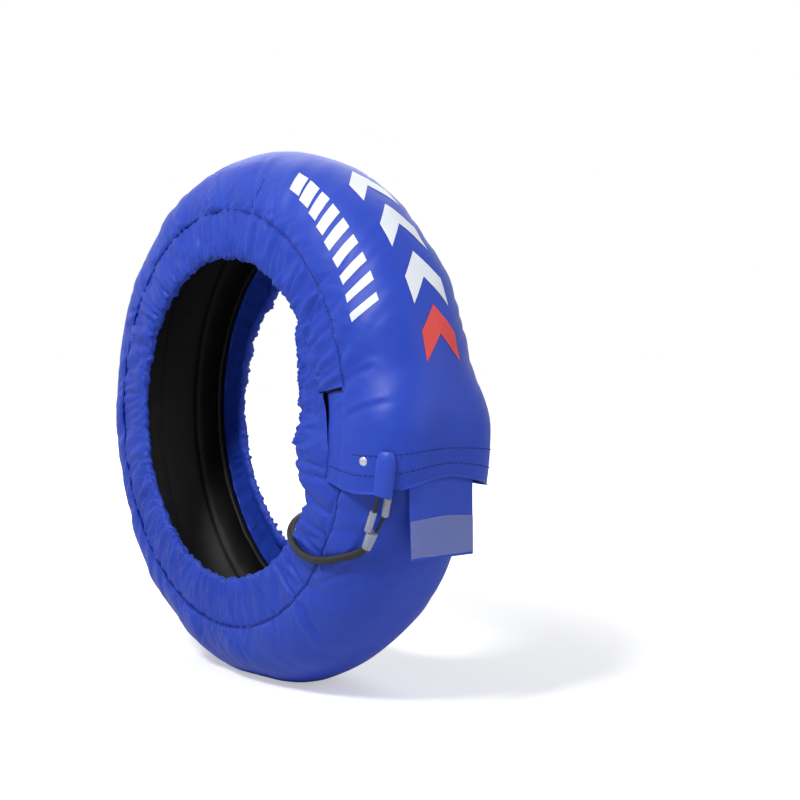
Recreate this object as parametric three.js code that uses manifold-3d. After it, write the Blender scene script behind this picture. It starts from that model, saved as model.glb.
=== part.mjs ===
// Motorcycle tire warmer: a padded heated belt that wraps a front tyre, closed by a flap
// Millimetres, +Z up. The axle runs along Y, the closing flap is at +X, the origin is on the floor
import * as THREE from 'three';
import Module from 'manifold-3d';
import { mergeVertices } from 'three/addons/utils/BufferGeometryUtils.js';

// The tyre that the warmer is made for, and the ease it leaves round it
const TYRE_RADIUS = 300;
const TYRE_HALF_WIDTH = 60;
const CROWN_EASE = 0.6;
const SIDE_EASE = 7;

// Layers of the belt, from the outside inwards
const CLEARANCE = 0.3;
const COVER_THICKNESS = 1.6;
const PAD_THICKNESS = 5.5;
const PAD_EDGE_THICKNESS = 3;
const ELEMENT_THICKNESS = 1.8;
const LINING_THICKNESS = 1.6;
const TONGUE_THICKNESS = 1.4;

// Section of the belt
const SEAM_DEPTH = 71;
const SIDE_WALL_HEIGHT = 5;
const QUILT_PUFF = 1.5;
const QUILT_PITCH_DEG = 30;

// Floor: how far the soft ring settles on its flat spot
const FLOOR_SETTLE = 5;
const FLOOR_REACH = 0.6;
const FLOOR_TRIM = 0.3;
const FLOOR_PRESS_X = 9;

// Angles round the ring, from +X towards +Z, in degrees
const FLAP_HEM_DEG = -9;
const FLAP_HEM_SAG_DEG = 5.5;
const FLAP_START_DEG = 9;
const UPPER_PAD_END_DEG = 10;
const LOWER_END_DEG = 359;
const TONGUE_START_DEG = -20;
const TONGUE_END_DEG = 30;

// Closing flap
const FLAP_WING_DEPTH = 20;
const FLAP_SHOULDER_BULGE = 12;
const FLAP_HEM_TURN = 1.4;
const FLAP_HEM_DEPTH_DEG = 1.6;
const TAPE_THICKNESS = 1.5;
const TAPE_ROWS_DEG = [-2, -5, -6.6];
const TAPE_REACH_DEG = 36;

// Side skirts and the elastic in their hems
const HEM_DEPTH = 54;
const HEM_ROLL_HEIGHT = 10;
const HEM_ROLL_WIDTH = 9.6;
const HEM_OVERHANG = 1.8;
const HEM_CORE = 5;
const HEM_CHANNEL = 2.4;
const HEM_CORNER = 2;
const HEM_LIP_HEIGHT = 10.6;
const HEM_LIP = 2;
const SKIRT_THICKNESS = 1.4;
const SKIRT_BULGE = 1.6;
const SKIRT_BULGE_SHARE = 0.45;
const GATHER_STEP_DEG = 5;
const GATHER_DEPTH = 1.6;
const ELASTIC_RADIUS = 1.6;
const ELASTIC_SIDES = 5;
const SKIRT_END_DEG = 397;
const BAND_INSET = 7.6;
const BAND_START_DEG = 352;
const BAND_FULL_DEG = 366;
const BAND_CALM = 0.7;
const ELASTIC_FINE_DEG = 325;

// Heating element
const ELEMENT_FIRST_LEG_DEG = 15;
const ELEMENT_LEG_PITCH_DEG = 30;
const ELEMENT_WIDTH = 9;
const ELEMENT_REACH_DEG = 58;

// Small pieces on the flap
const RIVET_HEAD_RADIUS = 5;
const RIVET_HEAD_HEIGHT = 3;
const RIVET_RIM = 0.8;
const RIVET_SHANK_RADIUS = 1.8;
const RIVET_DEG = -4.4;
const RIVET_SECTION_DEG = -66;
const WASHER_RADIUS = 4.5;
const WASHER_THICKNESS = 0.8;
const RIVET_GRIP = 3;
const TAB_WIDTH = 21;
const TAB_HEIGHT = 8;
const TAB_WALL = 1.5;
const TAB_LENGTH_DEG = 6;
const TAB_SECTION_DEG = -49;
const TAB_ARCH_STEPS = 8;
const TAB_SQUARENESS = 0.7;
const LEAD_RADIUS = 1.9;
const LEAD_SPACING = 6.4;
const LEAD_SLOT_DEG = -4.8;
const LEAD_SLOT_LENGTH = 14;
const LEAD_DROP = 3;
const LEAD_TAIL_DEG = 5;
const THERMOSTAT_RADIUS = 9;
const THERMOSTAT_HEIGHT = 3.6;
const THERMOSTAT_DEG = 25;
const THERMOSTAT_SECTION_DEG = -24;

// Splices and cable
const SLEEVE_RADIUS = 4;
const BOOT_TOP_RADIUS = 6.4;
const BOOT_WALL = 0.9;
const CABLE_RADIUS = 4.3;
const COIL_OUTER_RADIUS = 51;
const COIL_TURNS_WIDE = 2;
const COIL_TURNS_HIGH = 3;
const COIL_SIDES = 24;
const COIL_CENTRE = new THREE.Vector2(-120, 137);

// Plug
const PLUG_REACH = 33;
const PLUG_RADIUS = 18;
const PLUG_LENGTH = 34;
const PLUG_RELIEF_LENGTH = 24;
const PLUG_RELIEF_RADIUS = 6;
const PLUG_SHOULDER = 4;
const PLUG_EDGE = 2;
const PIN_RADIUS = 2.4;
const PIN_LENGTH = 19;
const PIN_SPACING = 19;

// Information pocket
const POCKET_LENGTH = 84;
const POCKET_THICKNESS = 1.2;
const POCKET_TUCK_DEG = 1.4;
const POCKET_LEFT_DEG = -32;
const POCKET_RIGHT_DEG = 28;
const POCKET_LEAN = 2;
const POCKET_FOLD_SHARE = 0.02;
const WINDOW_LENGTH = 44;
const WINDOW_THICKNESS = 0.6;
const WINDOW_MARGIN = 3;

// Mesh density
const COVER_STEP_DEG = 5;
const LAYER_STEP_DEG = 10;
const SECTION_STEPS = 8;
const CORD_SIDES = 8;
const CABLE_STEPS = 46;
const LEAD_STEPS = 12;

// Depths of the layers below the outer face of the belt, at the crown and at the side edge
const PAD_TOP = COVER_THICKNESS + CLEARANCE;
const layerDepths = (padThickness) => {
  const padBottom = PAD_TOP + padThickness;
  const elementTop = padBottom + CLEARANCE;
  const elementBottom = elementTop + ELEMENT_THICKNESS;
  const liningTop = elementBottom + CLEARANCE;
  const liningBottom = liningTop + LINING_THICKNESS;
  const tongueTop = liningBottom + CLEARANCE;
  return { padBottom, elementTop, elementBottom, liningTop, liningBottom, tongueTop };
};
const CROWN_DEPTHS = layerDepths(PAD_THICKNESS);
const EDGE_DEPTHS = layerDepths(PAD_EDGE_THICKNESS);

const CROWN_RADIUS = TYRE_RADIUS + CROWN_EASE + CROWN_DEPTHS.liningBottom;
const BELT_HALF_WIDTH = TYRE_HALF_WIDTH + SIDE_EASE + EDGE_DEPTHS.liningBottom;
const SEAM_RADIUS = CROWN_RADIUS - SEAM_DEPTH;
const SHOULDER_RADIUS = SEAM_RADIUS + SIDE_WALL_HEIGHT;
const SECTION_RISE = CROWN_RADIUS - SHOULDER_RADIUS;
const CENTRE_HEIGHT = CROWN_RADIUS - FLOOR_SETTLE;
const HEM_RADIUS = SEAM_RADIUS - HEM_DEPTH;
const FLAP_WING_RADIUS = SEAM_RADIUS - FLAP_WING_DEPTH;
const TAPE_STACK = 2 * TAPE_THICKNESS + 4 * CLEARANCE;
const FLAP_LIFT = TAPE_STACK + COVER_THICKNESS;

const radians = THREE.MathUtils.degToRad;
const smooth = THREE.MathUtils.smoothstep;
const mixed = THREE.MathUtils.lerp;

const wasm = await Module();
wasm.setup();

const material = (color, roughness, metalness, extra = {}) =>
  new THREE.MeshStandardMaterial({ color, roughness, metalness, ...extra });
const NYLON = () => material(0x2f4fc4, 0.55, 0);
const SKIRT_NYLON = () => material(0x2a48b8, 0.6, 0);
const BLACK_CLOTH = () => material(0x111113, 0.85, 0);
const WADDING = () => material(0xd8d6cf, 0.95, 0);
const SILICONE = () => material(0xb5522e, 0.6, 0);
const BLACK_RUBBER = () => material(0x141416, 0.5, 0);
const CHROME = () => material(0xd9dadc, 0.15, 1);
const CLEAR_SLEEVE = () => material(0xc9ced6, 0.3, 0, { transparent: true, opacity: 0.6 });

const named = (name, geometry, surface) => {
  const mesh = new THREE.Mesh(geometry, surface);
  mesh.name = name;
  return mesh;
};

// A point of the section, depth below the outer face, at section angle t from the crown
const sectionPoint = (t, depth) => {
  const angle = radians(t);
  const normal = new THREE.Vector2(Math.sin(angle) / BELT_HALF_WIDTH, Math.cos(angle) / SECTION_RISE);
  normal.normalize();
  const across = BELT_HALF_WIDTH * Math.sin(angle) - normal.x * depth;
  const radius = SHOULDER_RADIUS + SECTION_RISE * Math.cos(angle) - normal.y * depth;
  return new THREE.Vector2(across, radius);
};

// A point of the ring at angle phi, from its place across the width and its radius
const ringPoint = (phi, across, radius) =>
  new THREE.Vector3(radius * Math.cos(radians(phi)), across, CENTRE_HEIGHT + radius * Math.sin(radians(phi)));

// How far the floor moves the whole stack of layers at a place of the belt, where it touches
const floorLift = (phi, t) => {
  const height = ringPoint(phi, 0, sectionPoint(t, 0).y).z;
  return height < FLOOR_REACH ? -height : 0;
};

const beltPoint = (phi, t, depth) => {
  const flat = sectionPoint(t, depth);
  const point = ringPoint(phi, flat.x, flat.y);
  point.z = Math.max(0, point.z + floorLift(phi, t));
  return point;
};

// Depth of a layer at section angle t, between its crown value and its edge value
const depthAt = (t, name) => mixed(CROWN_DEPTHS[name], EDGE_DEPTHS[name], Math.sin(radians(t)) ** 2);

// The same, on the flat facets that the layers share, so that what lies between them stays between
const layerPoint = (phi, t, name, extra) => {
  const tStep = 180 / SECTION_STEPS;
  const phiLow = Math.floor(phi / LAYER_STEP_DEG) * LAYER_STEP_DEG;
  const tLow = Math.floor(t / tStep) * tStep;
  const corner = (i, j) => {
    const tCorner = tLow + j * tStep;
    return beltPoint(phiLow + i * LAYER_STEP_DEG, tCorner, depthAt(tCorner, name) + extra);
  };
  const [u, v] = [(phi - phiLow) / LAYER_STEP_DEG, (t - tLow) / tStep];
  const [a, b, c, d] = [corner(0, 0), corner(1, 0), corner(0, 1), corner(1, 1)];
  const blend = (...terms) =>
    terms.reduce((sum, [point, weight]) => sum.addScaledVector(point, weight), new THREE.Vector3());
  if (a.distanceTo(d) <= b.distanceTo(c)) {
    return u > v ? blend([a, 1 - u], [b, u - v], [d, v]) : blend([a, 1 - v], [c, v - u], [d, u]);
  }
  return u + v < 1 ? blend([a, 1 - u - v], [b, u], [c, v]) : blend([d, u + v - 1], [b, 1 - v], [c, 1 - u]);
};

const signedVolume = (positions, indices) => {
  let total = 0;
  const [a, b, c] = [new THREE.Vector3(), new THREE.Vector3(), new THREE.Vector3()];
  for (let i = 0; i < indices.length; i += 3) {
    a.fromArray(positions, 3 * indices[i]);
    b.fromArray(positions, 3 * indices[i + 1]);
    c.fromArray(positions, 3 * indices[i + 2]);
    total += a.dot(b.cross(c)) / 6;
  }
  return total;
};

// A closed solid through a row of closed outlines, each a list of points, with flat ends. Each
// four-sided face is split along its shorter diagonal, so nested layers fold along the same lines
const loft = (outlines, flatten) => {
  const count = outlines[0].length;
  const positions = outlines.flat().flatMap((point) => point.toArray());
  const indices = [];
  for (let i = 0; i + 1 < outlines.length; i += 1) {
    for (let j = 0; j < count; j += 1) {
      const next = (j + 1) % count;
      const [a, b] = [i * count + j, i * count + next];
      const rising = outlines[i][j].distanceTo(outlines[i + 1][next]);
      const falling = outlines[i][next].distanceTo(outlines[i + 1][j]);
      if (rising <= falling) indices.push(a, b, b + count, a, b + count, a + count);
      else indices.push(a, b, a + count, b, b + count, a + count);
    }
  }
  const ends = [0, outlines.length - 1];
  ends.forEach((end, which) => {
    const outline = outlines[end].map((point) => flatten(point, end));
    const turned = THREE.ShapeUtils.isClockWise(outline);
    const ring = outline.map((_, j) => j);
    if (turned) ring.reverse();
    const faces = THREE.ShapeUtils.triangulateShape(ring.map((j) => outline[j]), []);
    faces.forEach((face) => {
      const corners = face.map((k) => end * count + ring[k]);
      if ((which === 0) !== turned) corners.reverse();
      indices.push(...corners);
    });
  });
  if (signedVolume(positions, indices) < 0) indices.reverse();
  const geometry = new THREE.BufferGeometry();
  geometry.setAttribute('position', new THREE.Float32BufferAttribute(positions, 3));
  geometry.setIndex(indices);
  return geometry;
};

// Flattens an outline that lies in a plane through the axle
const acrossAndRadius = (point) => new THREE.Vector2(point.y, Math.hypot(point.x, point.z - CENTRE_HEIGHT));

const toSolid = (geometry) => {
  const bare = geometry.clone();
  bare.deleteAttribute('normal');
  bare.deleteAttribute('uv');
  const merged = mergeVertices(bare, 1e-4);
  return new wasm.Manifold(new wasm.Mesh({
    numProp: 3,
    vertProperties: new Float32Array(merged.attributes.position.array),
    triVerts: new Uint32Array(merged.index.array),
  }));
};

const toGeometry = (solid) => {
  const { vertProperties, triVerts } = solid.getMesh();
  const geometry = new THREE.BufferGeometry();
  geometry.setAttribute('position', new THREE.Float32BufferAttribute(vertProperties, 3));
  geometry.setIndex([...triVerts]);
  return geometry;
};

const cut = (geometry, ...tools) =>
  toGeometry(tools.reduce((solid, tool) => solid.subtract(toSolid(tool)), toSolid(geometry)));

const steps = (from, to, step) => {
  const values = [from];
  for (let next = (Math.floor(from / step) + 1) * step; next < to - 0.01; next += step) values.push(next);
  values.push(to);
  return values;
};

const sectionAngles = (count, reach = 90) =>
  Array.from({ length: count + 1 }, (_, i) => -reach + (2 * reach * i) / count);

// Closing flap: 0 where the cover lies on the pad, 1 at the hem
const flapShare = (phi) => 1 - smooth(phi, LOWER_END_DEG - 360, UPPER_PAD_END_DEG + COVER_STEP_DEG);
const shoulder = (t) => Math.sin(radians(2 * t)) ** 2;
const flapLift = (phi, t) => flapShare(phi) * (FLAP_LIFT + FLAP_SHOULDER_BULGE * shoulder(t));
const flapSag = (phi, t) => {
  const share = THREE.MathUtils.clamp(phi / FLAP_HEM_DEG, 0, 1);
  return phi - share * FLAP_HEM_SAG_DEG * Math.sin(radians(t)) ** 2;
};
const flapPoint = (phi, t, depth) => beltPoint(flapSag(phi, t), t, depth - flapLift(phi, t));

// The same, on the flat facets between the section's corners, where small pieces seat on the flap
const flapFacet = (phi, t, depth) => {
  const tStep = 180 / SECTION_STEPS;
  const tLow = Math.floor(t / tStep) * tStep;
  return flapPoint(phi, tLow, depth).lerp(flapPoint(phi, tLow + tStep, depth), (t - tLow) / tStep);
};

// A point of the flap's side wing, which hangs below the last section angle
const wingPoint = (phi, side, depth, radius) => {
  const edge = flapPoint(phi, side * 90, depth);
  return ringPoint(flapSag(phi, side * 90), edge.y, radius);
};

const quiltRelief = (phi, t) => {
  const wave = Math.abs(Math.cos((Math.PI * phi) / QUILT_PITCH_DEG)) ** 6;
  const open = phi > UPPER_PAD_END_DEG + LAYER_STEP_DEG && phi < LOWER_END_DEG - LAYER_STEP_DEG;
  return open ? QUILT_PUFF * (1 - wave) * Math.cos(radians(t)) : 0;
};

const coverOutline = (phi) => {
  const isFlap = phi <= FLAP_START_DEG;
  const inHem = phi <= FLAP_HEM_DEG + FLAP_HEM_DEPTH_DEG;
  const thickness = COVER_THICKNESS + (inHem ? FLAP_HEM_TURN : 0);
  const edge = isFlap ? FLAP_WING_RADIUS : SEAM_RADIUS;
  const outer = sectionAngles(SECTION_STEPS).map((t) => flapPoint(phi, t, -quiltRelief(phi, t)));
  for (const point of outer) {
    if (point.z < FLOOR_REACH) point.z = -FLOOR_TRIM;
  }
  const inner = sectionAngles(SECTION_STEPS).map((t) => flapPoint(phi, t, thickness));
  return [
    wingPoint(phi, -1, 0, edge),
    ...outer,
    wingPoint(phi, 1, 0, edge),
    wingPoint(phi, 1, thickness, edge),
    ...inner.reverse(),
    wingPoint(phi, -1, thickness, edge),
  ];
};

const coverAngles = () => {
  const hemInside = FLAP_HEM_DEG + FLAP_HEM_DEPTH_DEG;
  const notch = FLAP_START_DEG + CLEARANCE;
  return [
    FLAP_HEM_DEG, hemInside, hemInside + CLEARANCE, -COVER_STEP_DEG, 0, COVER_STEP_DEG,
    FLAP_START_DEG, ...steps(notch, LOWER_END_DEG, COVER_STEP_DEG),
  ];
};

const flapNormal = (phi, t) => {
  const along = flapFacet(phi + 1, t, 0).sub(flapFacet(phi - 1, t, 0));
  const across = flapFacet(phi, t + 1, 0).sub(flapFacet(phi, t - 1, 0));
  return across.cross(along).normalize();
};

const stands = (geometry, point, direction) => {
  const turn = new THREE.Quaternion().setFromUnitVectors(new THREE.Vector3(0, 1, 0), direction);
  return geometry.applyQuaternion(turn).translate(point.x, point.y, point.z);
};

const rivetPlace = () => flapFacet(RIVET_DEG, RIVET_SECTION_DEG, 0);
const rivetNormal = () => flapNormal(RIVET_DEG, RIVET_SECTION_DEG);

const rivetHole = () => {
  const radius = RIVET_SHANK_RADIUS + CLEARANCE;
  const drill = new THREE.CylinderGeometry(radius, radius, 20, 12);
  return stands(drill, rivetPlace(), rivetNormal());
};

// Slot in the flap below the tab, where the two leads come out
const leadSlot = () => {
  const slot = new THREE.BoxGeometry(2.4 * LEAD_SPACING, 24, LEAD_SLOT_LENGTH);
  const { point, along, out, across } = tabFrame(LEAD_SLOT_DEG);
  const basis = new THREE.Matrix4().makeBasis(across, out, along.negate());
  return slot.applyMatrix4(basis).translate(point.x, point.y, point.z);
};

// The cloth that touches the floor is pressed flat
const floorCut = () => {
  const floor = new THREE.BoxGeometry(CROWN_RADIUS, CROWN_RADIUS, CROWN_RADIUS);
  return floor.translate(FLOOR_PRESS_X, 0, -CROWN_RADIUS / 2);
};

const treadCover = () => {
  const shell = loft(coverAngles().map(coverOutline), acrossAndRadius);
  return named('tread_cover', cut(shell, rivetHole(), leadSlot(), floorCut()), NYLON());
};

const layerOutline = (phi, topDepth, bottomDepth, reach) => {
  const angles = sectionAngles(SECTION_STEPS, reach);
  const top = angles.map((t) => beltPoint(phi, t, topDepth(t)));
  const bottom = angles.map((t) => beltPoint(phi, t, bottomDepth(t)));
  return [...top, ...bottom.reverse()];
};

const thermostatBody = (radius, height, lift) => {
  const seat = (rise) => layerPoint(THERMOSTAT_DEG, THERMOSTAT_SECTION_DEG, 'padBottom', -rise);
  const out = seat(1).sub(seat(0)).normalize();
  const centre = seat(0).addScaledVector(out, lift + height / 2);
  return stands(new THREE.CylinderGeometry(radius, radius, height, 16), centre, out);
};

const insulationPad = () => {
  const padTop = () => PAD_TOP;
  const padBottom = (t) => depthAt(t, 'padBottom');
  const outlines = steps(UPPER_PAD_END_DEG, LOWER_END_DEG - 1, LAYER_STEP_DEG).map((phi) =>
    layerOutline(phi, padTop, padBottom, 90));
  const depth = THERMOSTAT_HEIGHT + CLEARANCE;
  const recess = thermostatBody(THERMOSTAT_RADIUS + 2 * CLEARANCE, 2 * depth, -depth);
  return named('insulation_pad', cut(loft(outlines, acrossAndRadius), recess), WADDING());
};

const thermostat = () =>
  named('thermostat', thermostatBody(THERMOSTAT_RADIUS, THERMOSTAT_HEIGHT, 0), BLACK_RUBBER());

// Lining with lips at both seams that close the edge of the wadding
const thermalLining = () => {
  const outlines = steps(UPPER_PAD_END_DEG, LOWER_END_DEG - 1, LAYER_STEP_DEG).map((phi) => {
    const top = (t) => depthAt(t, 'liningTop');
    const bottom = (t) => depthAt(t, 'liningBottom');
    const cell = layerOutline(phi, top, bottom, 90);
    const last = SECTION_STEPS;
    const lipAt = (side, depth, radius) => {
      const edge = beltPoint(phi, side * 90, depth);
      return ringPoint(phi, edge.y, radius);
    };
    const [inside, outside] = [EDGE_DEPTHS.liningBottom, COVER_THICKNESS + CLEARANCE];
    const [low, high] = [SEAM_RADIUS, SEAM_RADIUS + LINING_THICKNESS];
    const lipOut = (side) => [
      lipAt(side, EDGE_DEPTHS.liningTop, high),
      lipAt(side, outside, high),
      lipAt(side, outside, low),
      lipAt(side, inside, low),
    ];
    return [...cell.slice(0, last + 1), ...lipOut(1), ...cell.slice(last + 1), ...lipOut(-1).reverse()];
  });
  return named('thermal_lining', loft(outlines, acrossAndRadius), BLACK_CLOTH());
};

// Serpentine path of the heating element, as places on the belt
const elementPath = () => {
  const path = [];
  const last = LOWER_END_DEG - LAYER_STEP_DEG;
  const reach = ELEMENT_REACH_DEG;
  const legStops = [-reach, ...sectionAngles(SECTION_STEPS).filter((t) => Math.abs(t) < reach), reach];
  let side = -1;
  for (let phi = ELEMENT_FIRST_LEG_DEG; phi <= last; phi += ELEMENT_LEG_PITCH_DEG) {
    const nextLeg = phi + ELEMENT_LEG_PITCH_DEG;
    const turnStops = nextLeg <= last ? steps(phi, nextLeg, LAYER_STEP_DEG).slice(1, -1) : [];
    for (const t of legStops) path.push([phi, -side * t]);
    for (const stop of turnStops) path.push([stop, -side * reach]);
    side = -side;
  }
  return path;
};

const heatingElement = () => {
  const path = elementPath();
  const degreesPerMm = [360 / (2 * Math.PI * CROWN_RADIUS), 180 / (Math.PI * SECTION_RISE)];
  const direction = (from, to) =>
    new THREE.Vector2((to[0] - from[0]) / degreesPerMm[0], (to[1] - from[1]) / degreesPerMm[1]).normalize();
  const outlines = path.map((place, i) => {
    const before = direction(path[Math.max(0, i - 1)], path[Math.max(1, i)]);
    const after = direction(path[Math.min(i, path.length - 2)], path[Math.min(i + 1, path.length - 1)]);
    const bisector = before.clone().add(after).normalize();
    const half = ELEMENT_WIDTH / 2 / Math.max(0.7, bisector.dot(before));
    const sideways = new THREE.Vector2(-bisector.y, bisector.x).multiplyScalar(half);
    const corner = (sign, name) => {
      const phi = place[0] + sign * sideways.x * degreesPerMm[0];
      const t = place[1] + sign * sideways.y * degreesPerMm[1];
      return layerPoint(phi, t, name, 0);
    };
    const [top, bottom] = ['elementTop', 'elementBottom'];
    return [corner(-1, top), corner(1, top), corner(1, bottom), corner(-1, bottom)];
  });
  const flatten = (point, end) => {
    const [a, b, , d] = outlines[end];
    const [u, v] = [b.clone().sub(a).normalize(), d.clone().sub(a).normalize()];
    const from = point.clone().sub(a);
    return new THREE.Vector2(from.dot(u), from.dot(v));
  };
  return named('heating_element', loft(outlines, flatten), SILICONE());
};

// Black tongue of lining cloth that bridges the closure behind the flap
const overlapTongue = () => {
  const wing = [
    [TYRE_HALF_WIDTH + 2.8, SEAM_RADIUS - 29],
    [TYRE_HALF_WIDTH + 1.6, SEAM_RADIUS - 63],
  ];
  const angles = sectionAngles(SECTION_STEPS, 90);
  const outlines = steps(TONGUE_START_DEG, TONGUE_END_DEG, LAYER_STEP_DEG).map((phi) => {
    const top = angles.map((t) => beltPoint(phi, t, depthAt(t, 'tongueTop')));
    const bottom = angles.map((t) => beltPoint(phi, t, depthAt(t, 'tongueTop') + TONGUE_THICKNESS));
    const wings = (side, inset) =>
      wing.map(([across, radius]) => ringPoint(phi, side * (across - inset), radius));
    return [
      ...wings(-1, 0).reverse(), ...top, ...wings(1, 0),
      ...wings(1, TONGUE_THICKNESS).reverse(), ...bottom.reverse(), ...wings(-1, TONGUE_THICKNESS),
    ];
  });
  return named('overlap_tongue', loft(outlines, acrossAndRadius), BLACK_CLOTH());
};

// Values between rows of [angle, value]
const between = (rows, angle) => {
  const next = rows.findIndex(([at]) => at >= angle);
  if (next === 0) return rows[0][1];
  if (next < 0) return rows[rows.length - 1][1];
  const [[a, low], [b, high]] = [rows[next - 1], rows[next]];
  return mixed(low, high, (angle - a) / (b - a));
};

// Lowest radius of the hem and top radius of the sheet. Past the lower end the elastic pulls the
// skirt into a straight band behind the flap
const hemRadiusAt = (phi) => between([
  [10, HEM_RADIUS + 9], [34, HEM_RADIUS + 4], [50, HEM_RADIUS], [333, HEM_RADIUS], [340, HEM_RADIUS - 15],
  [352, HEM_RADIUS - 39], [370, HEM_RADIUS - 40], [386, HEM_RADIUS - 30], [397, HEM_RADIUS - 15],
], phi);
const skirtTopAt = (phi) => between([
  [344, SEAM_RADIUS - CLEARANCE], [349, SEAM_RADIUS - 28], [355, SEAM_RADIUS - 42],
  [362, SEAM_RADIUS - 50], [369, SEAM_RADIUS - 54.5], [397, SEAM_RADIUS - 51],
], phi);
const bandShare = (phi) => smooth(phi, BAND_START_DEG, BAND_FULL_DEG);
const skirtFaceAt = (phi) => BELT_HALF_WIDTH - BAND_INSET * bandShare(phi);

// Gathers: every other row stands out, by an uneven amount
const gatherWave = (index) => (index % 2 === 0 ? 1 : -1) * (0.65 + 0.35 * Math.sin(index * 2.4));

// Section of a skirt: a sheet from the seam to the hem, which is rolled inwards round the elastic
const skirtOutline = (phi, index, side) => {
  const hem = hemRadiusAt(phi);
  const top = skirtTopAt(phi);
  const face = skirtFaceAt(phi);
  const calm = 1 - BAND_CALM * bandShare(phi);
  const middle = mixed(hem + HEM_ROLL_HEIGHT, top, SKIRT_BULGE_SHARE);
  const swell = (SKIRT_BULGE + GATHER_DEPTH * SKIRT_BULGE_SHARE * gatherWave(index)) * calm;
  const puff = 0.6 + 0.4 * gatherWave(index + 1) * calm;
  const outside = face + HEM_OVERHANG + puff;
  const inside = face + HEM_OVERHANG - HEM_ROLL_WIDTH;
  const low = hem + (1 - puff) / 2;
  const lip = hem + HEM_LIP_HEIGHT;
  const channel = [HEM_CORE - HEM_CHANNEL, HEM_CORE + HEM_CHANNEL];
  const at = (across, radius) => ringPoint(phi, side * across, radius);
  return [
    at(face, top),
    at(face + swell, middle),
    at(outside, hem + channel[1]),
    at(outside - HEM_CORNER, low),
    at(inside + HEM_CORNER / 2, low),
    at(inside + HEM_LIP, lip),
    at(inside + 2 * HEM_LIP, lip),
    at(inside + channel[0], hem + channel[1]),
    at(inside + channel[0], hem + channel[0]),
    at(inside + channel[1], hem + channel[0]),
    at(inside + channel[1], hem + channel[1]),
    at(face + swell - SKIRT_THICKNESS, middle),
    at(face - SKIRT_THICKNESS, top),
  ];
};

const skirtAngles = () => steps(UPPER_PAD_END_DEG, SKIRT_END_DEG, GATHER_STEP_DEG);

const sideSkirt = (name, side) => {
  const outlines = skirtAngles().map((phi, index) => skirtOutline(phi, index, side));
  return named(name, loft(outlines, acrossAndRadius), SKIRT_NYLON());
};

const hemElastic = (name, side) => {
  const angles = skirtAngles().filter((phi, index) => phi > ELASTIC_FINE_DEG || index % 2 === 0);
  const outlines = angles.map((phi) => {
    const across = skirtFaceAt(phi) + HEM_OVERHANG - HEM_ROLL_WIDTH + HEM_CORE;
    const radius = hemRadiusAt(phi) + HEM_CORE;
    return Array.from({ length: ELASTIC_SIDES }, (_, i) => {
      const turn = (2 * i * Math.PI) / ELASTIC_SIDES;
      const [y, r] = [ELASTIC_RADIUS * Math.cos(turn), ELASTIC_RADIUS * Math.sin(turn)];
      return ringPoint(phi, side * (across + y), radius + r);
    });
  });
  return named(name, loft(outlines, acrossAndRadius), BLACK_RUBBER());
};

// Hook tape below the flap and loop tape on the lower end of the belt
const tape = (name, place, bottom, top, surface) => {
  const inner = sectionAngles(SECTION_STEPS).filter((t) => Math.abs(t) < TAPE_REACH_DEG);
  const angles = [-TAPE_REACH_DEG, ...inner, TAPE_REACH_DEG];
  const outlines = TAPE_ROWS_DEG.map((phi) => [
    ...angles.map((t) => place(phi, t, top)),
    ...[...angles].reverse().map((t) => place(phi, t, bottom)),
  ]);
  return named(name, loft(outlines, acrossAndRadius), surface);
};

const loopTape = () => {
  const place = (phi, t, depth) => flapFacet(phi + 360, t, depth);
  return tape('loop_tape', place, -CLEARANCE, -CLEARANCE - TAPE_THICKNESS, BLACK_CLOTH());
};

const hookTape = () => {
  const under = COVER_THICKNESS + 2 * CLEARANCE;
  return tape('hook_tape', flapFacet, under + TAPE_THICKNESS, under, BLACK_CLOTH());
};

const domeRivet = () => {
  const dome = Array.from({ length: 6 }, (_, i) => {
    const turn = (i * Math.PI) / 12;
    const height = CLEARANCE + mixed(RIVET_RIM, RIVET_HEAD_HEIGHT, Math.sin(turn));
    return new THREE.Vector2(RIVET_HEAD_RADIUS * Math.cos(turn), height);
  });
  const shankEnd = -RIVET_GRIP - WASHER_THICKNESS;
  const profile = [
    new THREE.Vector2(0, shankEnd),
    new THREE.Vector2(RIVET_SHANK_RADIUS, shankEnd),
    new THREE.Vector2(RIVET_SHANK_RADIUS, CLEARANCE),
    new THREE.Vector2(RIVET_HEAD_RADIUS, CLEARANCE),
    ...dome,
    new THREE.Vector2(0, CLEARANCE + RIVET_HEAD_HEIGHT),
  ];
  const shape = new THREE.LatheGeometry(profile, 12);
  return named('dome_rivet', stands(shape, rivetPlace(), rivetNormal()), CHROME());
};

const rivetWasher = () => {
  const [low, high] = [-RIVET_GRIP - WASHER_THICKNESS, -RIVET_GRIP];
  const inner = RIVET_SHANK_RADIUS + CLEARANCE;
  const profile = [[inner, low], [WASHER_RADIUS, low], [WASHER_RADIUS, high], [inner, high], [inner, low]];
  const points = profile.map(([x, y]) => new THREE.Vector2(x, y));
  const shape = new THREE.LatheGeometry(points, 14);
  return named('rivet_washer', stands(shape, rivetPlace(), rivetNormal()), CHROME());
};

// Half-round cloth sleeve over the leads, closed at its upper end and open below the hem
const tabFrame = (phi) => {
  const point = flapFacet(phi, TAB_SECTION_DEG, 0);
  const along = flapFacet(phi - 1, TAB_SECTION_DEG, 0).sub(point).normalize();
  const out = flapNormal(phi, TAB_SECTION_DEG);
  const across = new THREE.Vector3().crossVectors(along, out).normalize();
  return { point, along, out, across };
};

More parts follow.
